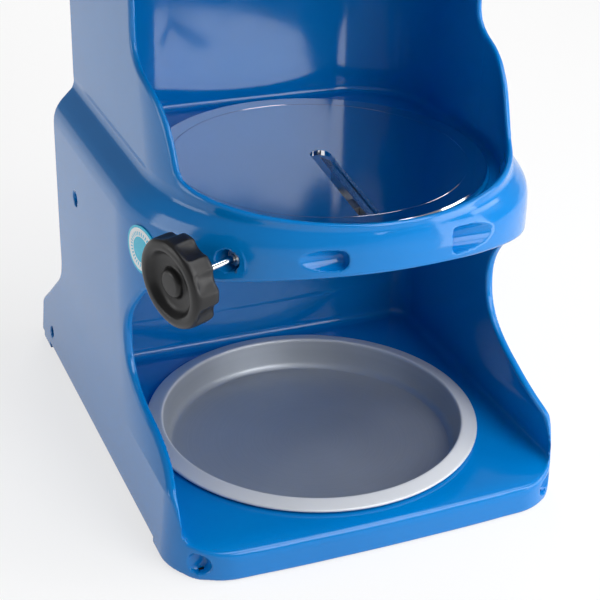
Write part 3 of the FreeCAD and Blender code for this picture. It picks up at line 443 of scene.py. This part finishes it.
class Finish:
    """A material with its Principled shader, object coordinates and patterns."""

    def __init__(self, name, **values):
        self.material = bpy.data.materials.new(name)
        self.material.use_nodes = True
        self.tree = self.material.node_tree
        self.shader = self.tree.nodes["Principled BSDF"]
        self.place = add_node(self.tree, "ShaderNodeTexCoord", output=3)
        split = self.tree.nodes.new("ShaderNodeSeparateXYZ")
        self.tree.links.new(self.place.out, split.inputs[0])
        self.x, self.y, self.z = (Socket(self.tree, out) for out in split.outputs)
        self.set(**values)

    def set(self, **values):
        for key, value in values.items():
            socket = self.shader.inputs[key.replace("_", " ")]
            if isinstance(value, Socket):
                self.tree.links.new(value.out, socket)
            else:
                socket.default_value = value

    def noise(self, scale, detail=3.0, rough=0.5, stretch=None):
        place = self.place
        if stretch:
            place = add_node(self.tree, "ShaderNodeMapping", Vector=place, Scale=stretch)
        return add_node(self.tree, "ShaderNodeTexNoise", Vector=place, Scale=scale, Detail=detail,
                        Roughness=rough)

    def bump(self, height, depth, strength=1.0):
        """Surface relief: height runs from 0 to 1 over this depth in metres."""
        self.set(Normal=add_node(self.tree, "ShaderNodeBump", Height=height, Distance=depth,
                                 Strength=strength))


def rgb(red, green, blue):
    return (red, green, blue, 1.0)


blue_enamel = Finish("blue_enamel", Coat_Weight=0.05, Coat_Roughness=0.03, IOR=1.42)
mottle = blue_enamel.noise(9.0, 4.0)
blue_enamel.set(Base_Color=mottle.ramp(0.35, 0.65).colour(rgb(0.0, 0.172, 0.51),
                                                         rgb(0.0, 0.186, 0.545)),
                Roughness=blue_enamel.noise(60.0, 2.0).ramp(0.3, 0.7, 0.10, 0.16))
blue_enamel.bump(blue_enamel.noise(130.0, 1.0), 0.00005, 0.25)

cell = 1.5
SKIN_LOW, SKIN_HIGH, SKIN_FACES = (-134, -128, -4), (134, 218, 438), 96000
points, quads = skin(casting_distance, SKIN_LOW, SKIN_HIGH, cell)
points, quads = largest(points, quads)
points = settle(casting_distance, points, 2, 1.0)
points, sides = thinned(points, quads, min(1.0, SKIN_FACES / len(quads)))
points = settle(casting_distance, points, 1, 0.2)
casting_layers = "casting_base casting_bay casting_ring casting_chamber casting_head"
piece("casting_skin", points, sides, "frame", casting_layers, blue_enamel,
      normals=facing(casting_distance, points, sides))


# --- feet --------------------------------------------------------------------------------------
# Four black rubber pads, pushed into the sockets under the corners, each held by a zinc plated
# screw that is sunk in the pad.

def dress(finish, *names):
    """Give carried-over CAD nodes a finish."""
    for name in names:
        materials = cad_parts[name].data.materials
        materials.clear()
        materials.append(finish.material)


rubber = Finish("black_rubber", Roughness=0.8)
rubber.set(Base_Color=rubber.noise(90.0).colour(rgb(0.012, 0.012, 0.012), rgb(0.03, 0.03, 0.032)))
rubber.bump(rubber.noise(900.0, 4.0), 0.0001, 0.6)
zinc = Finish("zinc_plate", Metallic=1.0)
zinc.set(Base_Color=zinc.noise(160.0).colour(rgb(0.52, 0.53, 0.55), rgb(0.68, 0.69, 0.7)),
         Roughness=zinc.noise(420.0).ramp(0.3, 0.7, 0.22, 0.42))
zinc.bump(zinc.noise(1500.0, 2.0), 0.00003, 0.4)
dress(rubber, "rubber_feet")
dress(zinc, "foot_screws")


# --- drip tray ---------------------------------------------------------------------------------
# A round tray pressed from sheet aluminium, with a wide flange that rests on the deck.  It hangs
# in the opening of the deck.  Its floor keeps the fine rings of the spinning polish.

def rounded(profile, radius, steps=5):
    """Profile with its inner corners eased: each corner becomes a quadratic curve that starts and
    ends one radius away from it, or just under half a side where that is shorter."""
    p = np.array(profile, float)
    before, at, after = p[:-2], p[1:-1], p[2:]
    reach = np.broadcast_to(np.asarray(radius, float), len(p))[1:-1, None]
    back, ahead = before - at, after - at
    far_back, far_ahead = (np.linalg.norm(d, axis=1, keepdims=True) for d in (back, ahead))
    a = at + back / far_back * np.minimum(reach, 0.45 * far_back)
    b = at + ahead / far_ahead * np.minimum(reach, 0.45 * far_ahead)
    t = np.linspace(0, 1, steps)[None, :, None]
    curve = (1 - t) ** 2 * a[:, None] + 2 * t * (1 - t) * at[:, None] + t * t * b[:, None]
    return np.concatenate([p[:1], curve.reshape(-1, 2), p[-1:]])


def grid_faces(rows, columns):
    """Quads of a grid of points that runs around: its last column is joined to the first."""
    i, j = np.meshgrid(np.arange(rows - 1), np.arange(columns), indexing="ij")
    k = (j + 1) % columns
    return np.stack([i * columns + j, i * columns + k, (i + 1) * columns + k,
                     (i + 1) * columns + j], -1).reshape(-1, 4)


def lathe(profile, around=128):
    """Surface of revolution about Z: each (radius, height) is carried round in equal steps."""
    r, z = np.array(profile, float).T
    turn = np.linspace(0, 2 * np.pi, around, endpoint=False)
    points = np.stack([np.outer(r, np.cos(turn)), np.outer(r, np.sin(turn)),
                       np.outer(z, np.ones(around))], -1).reshape(-1, 3)
    return points, grid_faces(len(r), around)


def ringed(finish, x, y, per_metre):
    """Noise that changes only with the distance from an upright axis at x, y in mm."""
    radius = ((finish.x - x * MM) ** 2.0 + (finish.y - y * MM) ** 2.0) ** 0.5
    wave = add_node(finish.tree, "ShaderNodeTexNoise", {"noise_dimensions": "1D"},
                    W=radius * per_metre, Scale=1.0, Detail=2.0)
    return radius, wave


TRAY = [(0, 4.5), (92.2, 4.5), (95.3, 8.0), (97.9, 23.6), (106.0, 23.0), (107, 23.8),
        (106.6, 25.0), (98.2, 26.9), (96.8, 27.0), (95.9, 25.8), (93.4, 9.0), (90.6, 6.0),
        (0, 6.0)]
TRAY_EASE = [0, 2, 2, 1.5, 0.4, 0.6, 0.8, 0.8, 0.6, 1.0, 2.0, 1.2, 0]
tray_metal = Finish("spun_aluminium", IOR=1.5)
TRAY_Y = -2
radius, rings = ringed(tray_metal, 0, TRAY_Y, 900.0)
stain = tray_metal.noise(14.0, 5.0)
# Flange and pan are one pressed sheet. The pan's darker colour is painted shade from the ring shelf
# above, laid over its own stain and polish rings.
flange = radius.ramp(95.6 * MM, 96.6 * MM)
pan_tone_and_shade = (stain + rings * 0.5).ramp(0.5, 1.0).colour(rgb(0.40, 0.43, 0.47), rgb(0.47, 0.50, 0.54))
tray_metal.set(Base_Color=flange.colour(pan_tone_and_shade, rgb(0.63, 0.65, 0.68)),
               Metallic=flange.ramp(0, 1, 0.6, 0.15),
               Roughness=(rings * 0.6 + stain * 0.4).ramp(0.3, 0.7, 0.40, 0.50))
tray_metal.bump(rings, 0.00002, 0.5)
points, faces = lathe(rounded(TRAY, TRAY_EASE), 192)
piece("tray_pan", points + (0, TRAY_Y, 0), faces, "tray", "drip_tray", tray_metal)


# --- badge -------------------------------------------------------------------------------------
# A round printed film, stuck to the curved left wall: plain rings of cyan and white, with evenly
# spaced ticks round the white one.

badge_film = Finish("badge_film", Roughness=0.25, Coat_Weight=0.3)
BADGE_Y, BADGE_Z, WALL_SLANT, TICKS = -31.1, 174.8, 1.045, 32
u, v = (badge_film.y - BADGE_Y * MM) * WALL_SLANT, badge_film.z - BADGE_Z * MM
radius = (u ** 2.0 + v ** 2.0) ** 0.5
angle = v.sum_with("ARCTAN2", u)
ticks = (angle.mod(2 * math.pi / TICKS) - math.pi / TICKS).size().over(0.045)
band = radius.over(7.8 * MM) - radius.over(13.0 * MM)
tick_band = radius.over(8.5 * MM) - radius.over(10.8 * MM)
white = band * (1.0 - tick_band * (1.0 - ticks))
fibre = badge_film.noise(700.0).ramp(0.3, 0.7)
cyan = fibre.colour(rgb(0.02, 0.50, 0.72), rgb(0.03, 0.56, 0.78))
badge_film.set(Base_Color=white.colour(cyan, rgb(0.82, 0.86, 0.88)))
badge_film.bump(radius.over(14.1 * MM), 0.0002, 0.4)
dress(badge_film, "badge")


# --- blade disc --------------------------------------------------------------------------------
# A round plate of stainless steel, ground flat and mirror polished, with a fine groove near its
# edge and a slot for the blade.  Three screws from below hold it on the shelf's seat.

mirror = Finish("mirror_steel", Metallic=1.0)
radius, rings = ringed(mirror, 0, 0, 2600.0)
haze = mirror.noise(16.0, 4.0)
mirror.set(Base_Color=haze.colour(rgb(0.74, 0.75, 0.77), rgb(0.80, 0.81, 0.83)))
mirror.set(Roughness=(haze * 0.5 + rings * 0.5).ramp(0.35, 0.65, 0.05, 0.10))
mirror.bump(rings, 0.000004, 0.4)
dress(mirror, "blade_disc")
dress(zinc, "disc_screws", "yoke_screws", "clamp_screws")


# --- blade, carriage and guides ----------------------------------------------------------------
# A ground steel blade under a clamp bar, on a milled steel carriage that slides on two pins held
# in folded yokes under the disc.

ground = Finish("ground_steel", Metallic=1.0)
lines = ground.noise(220.0, 3.0, 0.6, (1.0, 14.0, 14.0))
ground.set(Base_Color=lines.colour(rgb(0.55, 0.56, 0.58), rgb(0.78, 0.79, 0.8)),
           Roughness=lines.ramp(0.3, 0.7, 0.16, 0.34))
ground.bump(lines, 0.00003, 0.5)
milled = Finish("milled_steel", Metallic=1.0)
marks = milled.noise(150.0, 4.0, 0.6, (9.0, 1.0, 1.0))
milled.set(Base_Color=marks.colour(rgb(0.42, 0.43, 0.45), rgb(0.6, 0.61, 0.63)),
           Roughness=marks.ramp(0.3, 0.7, 0.28, 0.46))
milled.bump(marks, 0.00004, 0.5)
dress(ground, "ice_blade")
dress(milled, "guide_yokes", "guide_pins", "blade_carriage", "blade_clamp")


# --- adjusting screw and star knob -------------------------------------------------------------
# A chromed screw in a bronze bush of the ring, with two collars.  Its star knob is moulded in
# satin black plastic: eight shallow lobes, and a dished face with a round boss in the middle.

def aimed(points, centre, axis):
    """Points made along Z, swung the shortest way round so that Z runs along the axis."""
    turn = np.array(Vector((0, 0, 1)).rotation_difference(Vector(axis)).to_matrix())
    return np.asarray(points) @ turn.T + centre


KNOB_RADIUS, LOBES, SCALLOP, SCALLOP_REACH = 25.5, 8, 10.0, 32.9
KNOB = [(0, 1.2), (6.4, 1.3), (7.8, 2.2), (8.8, 5.0), (15.6, 4.9), (18.8, 0.6), (20.0, 0.0),
        (22.6, 0.0), (25.5, 1.6), (25.5, 14.2), (23.6, 16), (7.0, 16), (5.3, 17.0), (5.3, 20.6),
        (4.7, 21), (0, 21)]
KNOB_EASE = [0, 0.8, 1.0, 1.6, 3.5, 1.5, 1.2, 2.2, 3.2, 3.0, 2.0, 2.0, 1.5, 0.5, 0.5, 0]


def star_knob(around=320):
    """Lathed form whose outer edge follows the lobes.  At each angle the edge is the smaller of
    the full radius and the near side of a scallop circle, and rows pull in by the difference,
    fully at the back of the rim, and not at all at its front edge and inside the dish."""
    r, z = rounded(KNOB, KNOB_EASE, 7).T
    turn = np.linspace(0, 2 * np.pi, around, endpoint=False)
    away = (turn + np.pi / LOBES) % (2 * np.pi / LOBES) - np.pi / LOBES
    room = SCALLOP ** 2 - (SCALLOP_REACH * np.sin(away)) ** 2
    near = SCALLOP_REACH * np.cos(away) - np.sqrt(np.maximum(room, 0))
    near = np.where(room > 0, near, 99)
    edge = -meet(np.full(around, -KNOB_RADIUS), -near, 1.2)
    share = np.clip((r - 18.0) / 4.5, 0, 1) * np.clip((z - 0.5) / 7.0, 0, 1)
    share = share * share * (3 - 2 * share)
    rows = r[:, None] - share[:, None] * (KNOB_RADIUS - edge)[None, :]
    points = np.stack([rows * np.cos(turn), rows * np.sin(turn),
                       np.repeat(z[:, None], around, 1)], -1).reshape(-1, 3)
    return points, grid_faces(len(r), around)


satin_black = Finish("satin_black_plastic", IOR=1.42)
grain = satin_black.noise(1400.0, 3.0)
satin_black.set(Base_Color=satin_black.noise(30.0).colour(rgb(0.006, 0.006, 0.007),
                                                        rgb(0.011, 0.011, 0.012)),
                Roughness=grain.ramp(0.3, 0.7, 0.30, 0.42))
satin_black.bump(grain, 0.00004, 0.35)
points, faces = star_knob()
KNOB_OUT = 38.4
piece("star_knob", aimed(points, SCREW_HOLE - KNOB_OUT * SCREW_AXIS, SCREW_AXIS), faces, "adjuster",
      "adjuster_knob", satin_black)

chrome = Finish("bright_chrome", Metallic=1.0)
cloud = chrome.noise(45.0, 3.0)
chrome.set(Base_Color=cloud.colour(rgb(0.78, 0.79, 0.81), rgb(0.86, 0.87, 0.88)),
           Roughness=cloud.ramp(0.3, 0.7, 0.05, 0.12))
chrome.bump(chrome.noise(500.0), 0.000006, 0.3)
STEM_RADIUS, STEM_FRONT, STEM_END = 2.4, -30.4, 96.5
STEM_LEAD, STEM_CUT, STEM_THREAD = 0.8, 0.35, (72.0, 95.6)


def threaded(radius, low, high, lead, depth, start, end, around=48, per_turn=10):
    """Round bar along Z with a screw thread between start and end: the radius drops by a soft
    square wave of height minus lead times the turn, faded at the thread's ends."""
    turn = np.linspace(0, 2 * np.pi, around, endpoint=False)
    count = int((end - start) / lead * per_turn)
    z = np.concatenate([[low, low], np.linspace(start, end, count), [high - 0.8, high, high]])
    bar = np.full(len(z), radius)
    bar[[0, -1]] = 0.0
    bar[1], bar[-2] = radius - 0.5, radius - 0.8
    wave = np.sin(2 * np.pi * z[:, None] / lead - turn[None, :])
    fade = np.clip(np.minimum(z - start, end - z) / lead, 0, 1)[:, None]
    cut = depth * fade * (0.5 - 0.5 * np.tanh(wave * 2.5))
    rows = np.maximum(bar[:, None] - cut, 0)
    points = np.stack([rows * np.cos(turn), rows * np.sin(turn),
                       np.repeat(z[:, None], around, 1)], -1).reshape(-1, 3)
    return points, grid_faces(len(z), around)


points, faces = threaded(STEM_RADIUS, STEM_FRONT, STEM_END, STEM_LEAD, STEM_CUT, *STEM_THREAD,
                         around=32, per_turn=8)
piece("adjusting_screw", aimed(points, SCREW_HOLE, SCREW_AXIS), faces, "adjuster",
      "adjuster_stem", chrome)
bronze = Finish("turned_bronze", Metallic=1.0)
tone = bronze.noise(70.0, 4.0)
bronze.set(Base_Color=tone.colour(rgb(0.42, 0.25, 0.09), rgb(0.62, 0.42, 0.18)),
           Roughness=bronze.noise(500.0, 2.0).ramp(0.3, 0.7, 0.25, 0.42))
bronze.bump(bronze.noise(180.0, 2.0, 0.5, (1.0, 1.0, 12.0)), 0.00003, 0.4)
dress(bronze, "stem_bush")
dress(zinc, "stem_collars")


# --- drive gear and its bearing ----------------------------------------------------------------
# A cast iron bevel gear with cut teeth.  Its hub turns in a bronze bush of the bearing plate, and
# a steel key in its bore turns the spindle.

iron = Finish("gear_iron", Metallic=0.85)
skin_marks = iron.noise(60.0, 5.0)
iron.set(Base_Color=skin_marks.colour(rgb(0.09, 0.09, 0.095), rgb(0.22, 0.22, 0.225)),
         Roughness=skin_marks.ramp(0.3, 0.7, 0.38, 0.6))
iron.bump(iron.noise(350.0, 4.0), 0.00012, 0.5)
dress(iron, "drive_gear", "bevel_pinion")
dress(milled, "gear_key", "nut_clip", "crank_shaft", "pinion_pin", "shaft_collar")
dress(bronze, "lower_bush", "upper_bush", "feed_nut", "inner_bush", "outer_bush")


# --- spindle and gripper -----------------------------------------------------------------------
# The feed screw, turned from bright steel with a coarse square thread and a keyway down its
# length, carries a plate with eight spikes that bite into the ice.

KEYWAY_HALF, KEYWAY_FLOOR, KEYWAY_FOOT = 2.1, 5.6, 370.0
SPINDLE_RADIUS, SPINDLE_FOOT, SPINDLE_TOP = 8.0, 352.0, 590.0
SPINDLE_LEAD, SPINDLE_CUT, SPINDLE_THREAD = 5.0, 1.1, (380.0, 584.0)
points, faces = threaded(SPINDLE_RADIUS, SPINDLE_FOOT, SPINDLE_TOP, SPINDLE_LEAD, SPINDLE_CUT,
                         *SPINDLE_THREAD, around=96, per_turn=14)
x, y, z = points.T
in_key = (np.abs(x) < KEYWAY_HALF) & (y > KEYWAY_FLOOR) & (z > KEYWAY_FOOT)
points[:, 1] = np.where(in_key, KEYWAY_FLOOR, y)
piece("feed_screw", points, faces, "gripper", "spindle", chrome)

PLATE = [(0, 352), (64, 352), (65, 353.2), (65, 356.8), (63.6, 358), (22, 358), (18.6, 361),
         (17.2, 367), (16, 368), (0, 368)]
SPIKE = [(0, 338), (0.8, 338.2), (4.0, 352.4), (5.4, 353.5), (0, 353.5)]


def gathered(shells):
    """Several (points, faces) surfaces as one."""
    points, faces, count = [], [], 0
    for part, sides in shells:
        points.append(np.asarray(part))
        faces.append(np.asarray(sides) + count)
        count += len(part)
    return np.concatenate(points), np.concatenate(faces)


shells = [lathe(rounded(PLATE, 1.4), 160)]
spike, sides = lathe(rounded(SPIKE, [0, 0.5, 1.5, 0.5, 0]), 24)
for turn in np.radians(np.arange(22.5, 360, 45)):
    shells.append((spike + (50 * math.cos(turn), 50 * math.sin(turn), 0), sides))
points, faces = gathered(shells)
piece("spiked_gripper", points, faces, "gripper", "gripper_plate", chrome)
dress(zinc, "gripper_washer", "gripper_bolt")


# --- head cover --------------------------------------------------------------------------------
# A cast lid in the same blue enamel, on four posts of the head, with a boss for the feed nut's
# bush.  Its four screws are zinc plated.

dress(blue_enamel, "head_cover")
dress(zinc, "cover_screws", "wheel_screw", "arm_washer", "arm_bolt", "grip_nut")


# --- feed wheel --------------------------------------------------------------------------------
# A hand wheel cast in iron and dipped in black enamel: round rim, five spokes that swell where
# they meet the rim and the hub.  It is pinned to the nut and rubs on a felt brake washer.

def spoke(start, end, height, thick, swell, turn, around=20, along=24):
    """Round bar along a radius whose thickness grows towards both ends: thick plus swell times
    the square of how far along it is from the middle."""
    t = np.linspace(-1, 1, along)[:, None]
    r = thick + swell * t ** 4
    side = np.linspace(0, 2 * np.pi, around, endpoint=False)[None, :]
    out = start + (end - start) * (t + 1) / 2 + 0 * side
    across, rise = r * np.cos(side), height + 0.85 * r * np.sin(side)
    x = out * math.cos(turn) - across * math.sin(turn)
    y = out * math.sin(turn) + across * math.cos(turn)
    return np.stack([x, y, rise], -1).reshape(-1, 3), grid_faces(along, around)[:, ::-1]


RIM_MIDDLE, RIM_HEIGHT, RIM_RADIUS = 48.5, 468.4, 6.4
round_rim = [(RIM_MIDDLE + RIM_RADIUS * math.cos(a), RIM_HEIGHT + RIM_RADIUS * math.sin(a))
             for a in np.linspace(0, 2 * np.pi, 33)]
HUB = [(13, 455), (19.6, 455), (21, 456.4), (21, 470), (18.4, 473), (13, 473)]
shells = [lathe(round_rim, 160), lathe(rounded(HUB, 1.6), 96)]
for turn in np.radians(np.arange(90, 450, 72)):
    shells.append(spoke(17, 47, 465.9, 4.3, 2.2, turn))
points, faces = gathered(shells)
black_enamel = Finish("black_enamel", Coat_Weight=0.5, Coat_Roughness=0.06)
peel = black_enamel.noise(260.0, 2.0)
black_enamel.set(Base_Color=black_enamel.noise(40.0).colour(rgb(0.008, 0.008, 0.01),
                                                          rgb(0.016, 0.016, 0.018)),
                 Roughness=peel.ramp(0.3, 0.7, 0.2, 0.34))
black_enamel.bump(peel, 0.00006, 0.4)
piece("hand_wheel", points, faces, "feed", "feed_wheel", black_enamel)
felt = Finish("pressed_felt", Roughness=0.95)
fluff = felt.noise(1200.0, 6.0, 0.7)
felt.set(Base_Color=fluff.colour(rgb(0.42, 0.39, 0.32), rgb(0.66, 0.63, 0.55)))
felt.bump(fluff, 0.0004, 0.8)
dress(felt, "felt_washer")


# --- crank arm and grip ------------------------------------------------------------------------
# A chromed steel arm on the flat of the crank shaft, with rounded edges and a round hub.  The
# grip, moulded in black plastic, turns on a chromed pin whose head keeps it on.

ARM_LENGTH = 100.0


def tapered_bar(low, high, first, second, length, soft, around=160):
    """Flat bar between two round ends, upright in the YZ plane.  Each row is the outline of the
    two circles joined by straight sides, drawn in by an inset that rounds both edges."""
    ease = np.linspace(0, np.pi / 2, 7)
    inset = np.concatenate([[11.0], soft * (1 - np.sin(ease)), soft * (1 - np.cos(ease)), [11.0]])
    place = np.concatenate([[low], low + soft * (1 - np.cos(ease)),
                            high - soft * (1 - np.sin(ease)), [high]])
    turn = np.linspace(0, 2 * np.pi, around, endpoint=False)
    upper = np.sin(turn) > (first - second) / length * -1
    radius = np.where(upper, second, first)[None, :] - inset[:, None]
    y = radius * np.cos(turn)
    z = radius * np.sin(turn) + np.where(upper, length, 0)
    x = np.repeat(place[:, None], around, 1)
    return np.stack([x, y, CRANK_HEIGHT + z], -1).reshape(-1, 3), grid_faces(len(place), around)


ARM_HUB = [(7.0, 116), (14.6, 116), (16, 117.4), (16, 130.6), (14.6, 132), (7.0, 132)]
hub, sides = lathe(rounded(ARM_HUB, 1.4), 96)
along_x = np.array([[0, 0, 1], [1, 0, 0], [0, 1, 0]], float)
points, faces = gathered([tapered_bar(120, 128, 16, 13, ARM_LENGTH, 2.0),
                          (hub @ along_x.T + (0, 0, CRANK_HEIGHT), sides)])
piece("crank_arm_bar", points, faces, "crank", "crank_arm", chrome)
dress(chrome, "grip_pin")

GRIP = [(5.1, 129), (9.2, 129), (11.0, 130.4), (11.6, 142), (12.8, 165), (14.0, 190),
        (13.6, 212), (11.5, 224), (9.4, 226.3), (5.1, 226.3)]
GRIP_EASE = [0, 1.2, 1.5, 8, 12, 12, 8, 3, 1.5, 0]
gloss_black = Finish("gloss_black_plastic", IOR=1.48)
scuff = gloss_black.noise(35.0, 5.0)
gloss_black.set(Base_Color=scuff.colour(rgb(0.006, 0.006, 0.007), rgb(0.012, 0.012, 0.013)),
                Roughness=scuff.ramp(0.3, 0.7, 0.16, 0.3))
gloss_black.bump(gloss_black.noise(300.0, 2.0), 0.00003, 0.3)
points, faces = lathe(rounded(GRIP, GRIP_EASE, 7), 96)
piece("grip_handle", points @ along_x.T + (0, 0, CRANK_HEIGHT + ARM_LENGTH), faces, "grip",
      "crank_grip", gloss_black)


# --- floor, light and camera -----------------------------------------------------------------
# A pale studio floor with a bright surround, soft lamps overhead, and a short telephoto camera
# that looks down at the disc from the front left.

pale = Finish("pale_floor", Base_Color=rgb(0.9, 0.9, 0.9), Roughness=0.7)
bpy.ops.mesh.primitive_plane_add(size=40)
floor = bpy.context.object
floor.name = "floor"
floor.data.materials.append(pale.material)
rays = pale.tree.nodes.new("ShaderNodeLightPath")
seen = [Socket(pale.tree, rays.outputs[kind])
        for kind in ("Is Camera Ray", "Is Glossy Ray", "Is Transmission Ray")]
glow = add_node(pale.tree, "ShaderNodeEmission", Color=rgb(1, 1, 1), Strength=1.0)
lit = Socket(pale.tree, pale.shader.outputs[0])
mixed = add_node(pale.tree, "ShaderNodeMixShader", **{
    "0": (seen[0] + seen[1] + seen[2]) * 0.7, "1": lit, "2": glow})
finish_node = pale.tree.nodes["Material Output"]
pale.tree.links.new(mixed.out, finish_node.inputs["Surface"])

world = bpy.data.worlds.new("studio")
bpy.context.scene.world = world
world.use_nodes = True
surround = world.node_tree.nodes["Background"].inputs
surround["Color"].default_value = rgb(1, 1, 1)
surround["Strength"].default_value = 0.25


def lamp(name, place, target, size, power):
    """Square soft box that faces its target."""
    data = bpy.data.lights.new(name, "AREA")
    data.shape, data.size, data.energy = "SQUARE", size, power
    made = bpy.data.objects.new(name, data)
    made.location = place
    made.rotation_euler = (Vector(target) - Vector(place)).to_track_quat("-Z", "Y").to_euler()
    bpy.context.scene.collection.objects.link(made)


lamp("front_lamp", (0.6, -1.35, 0.96), (0, 0, 0.22), 1.0, 16)
lamp("left_lamp", (-1.5, 0.3, 0.35), (0, 0, 0.2), 0.7, 4.5)
lamp("right_lamp", (1.6, -0.3, 0.9), (0, 0, 0.2), 0.8, 8)
lamp("low_lamp", (0.5, -0.4, 0.13), (0, -0.05, 0.17), 0.34, 1.3)
lamp("top_lamp", (0.6, -0.6, 1.9), (0, 0, 0.2), 1.1, 16)
lamp("back_lamp", (0.5, 1.6, 0.9), (0, 0, 0.3), 0.8, 8)

PICTURE, FOCAL = 600, 1498.165
CENTRE_X, CENTRE_Y = 350.094, 301.5
YAW, PITCH, ROLL = (math.radians(angle) for angle in (24.919, 27.498, 2.529))
camera_data = bpy.data.cameras.new("camera")
camera = bpy.data.objects.new("camera", camera_data)
bpy.context.scene.collection.objects.link(camera)
ahead = Vector((math.sin(YAW) * math.cos(PITCH), math.cos(YAW) * math.cos(PITCH),
                -math.sin(PITCH)))
level = Vector((math.cos(YAW), -math.sin(YAW), 0))
above = level.cross(ahead)
right = math.cos(ROLL) * level + math.sin(ROLL) * above
up = math.cos(ROLL) * above - math.sin(ROLL) * level
camera.matrix_world = Matrix.Translation((-0.32939, -0.76162, 0.53916)) @ Matrix(
    (right, up, -ahead)).transposed().to_4x4()
camera_data.sensor_width = 36.0
camera_data.lens = FOCAL / PICTURE * camera_data.sensor_width
camera_data.shift_x = (PICTURE / 2 - CENTRE_X) / PICTURE
camera_data.shift_y = (CENTRE_Y - PICTURE / 2) / PICTURE
bpy.context.scene.camera = camera
bpy.context.scene.view_settings.view_transform = "Standard"
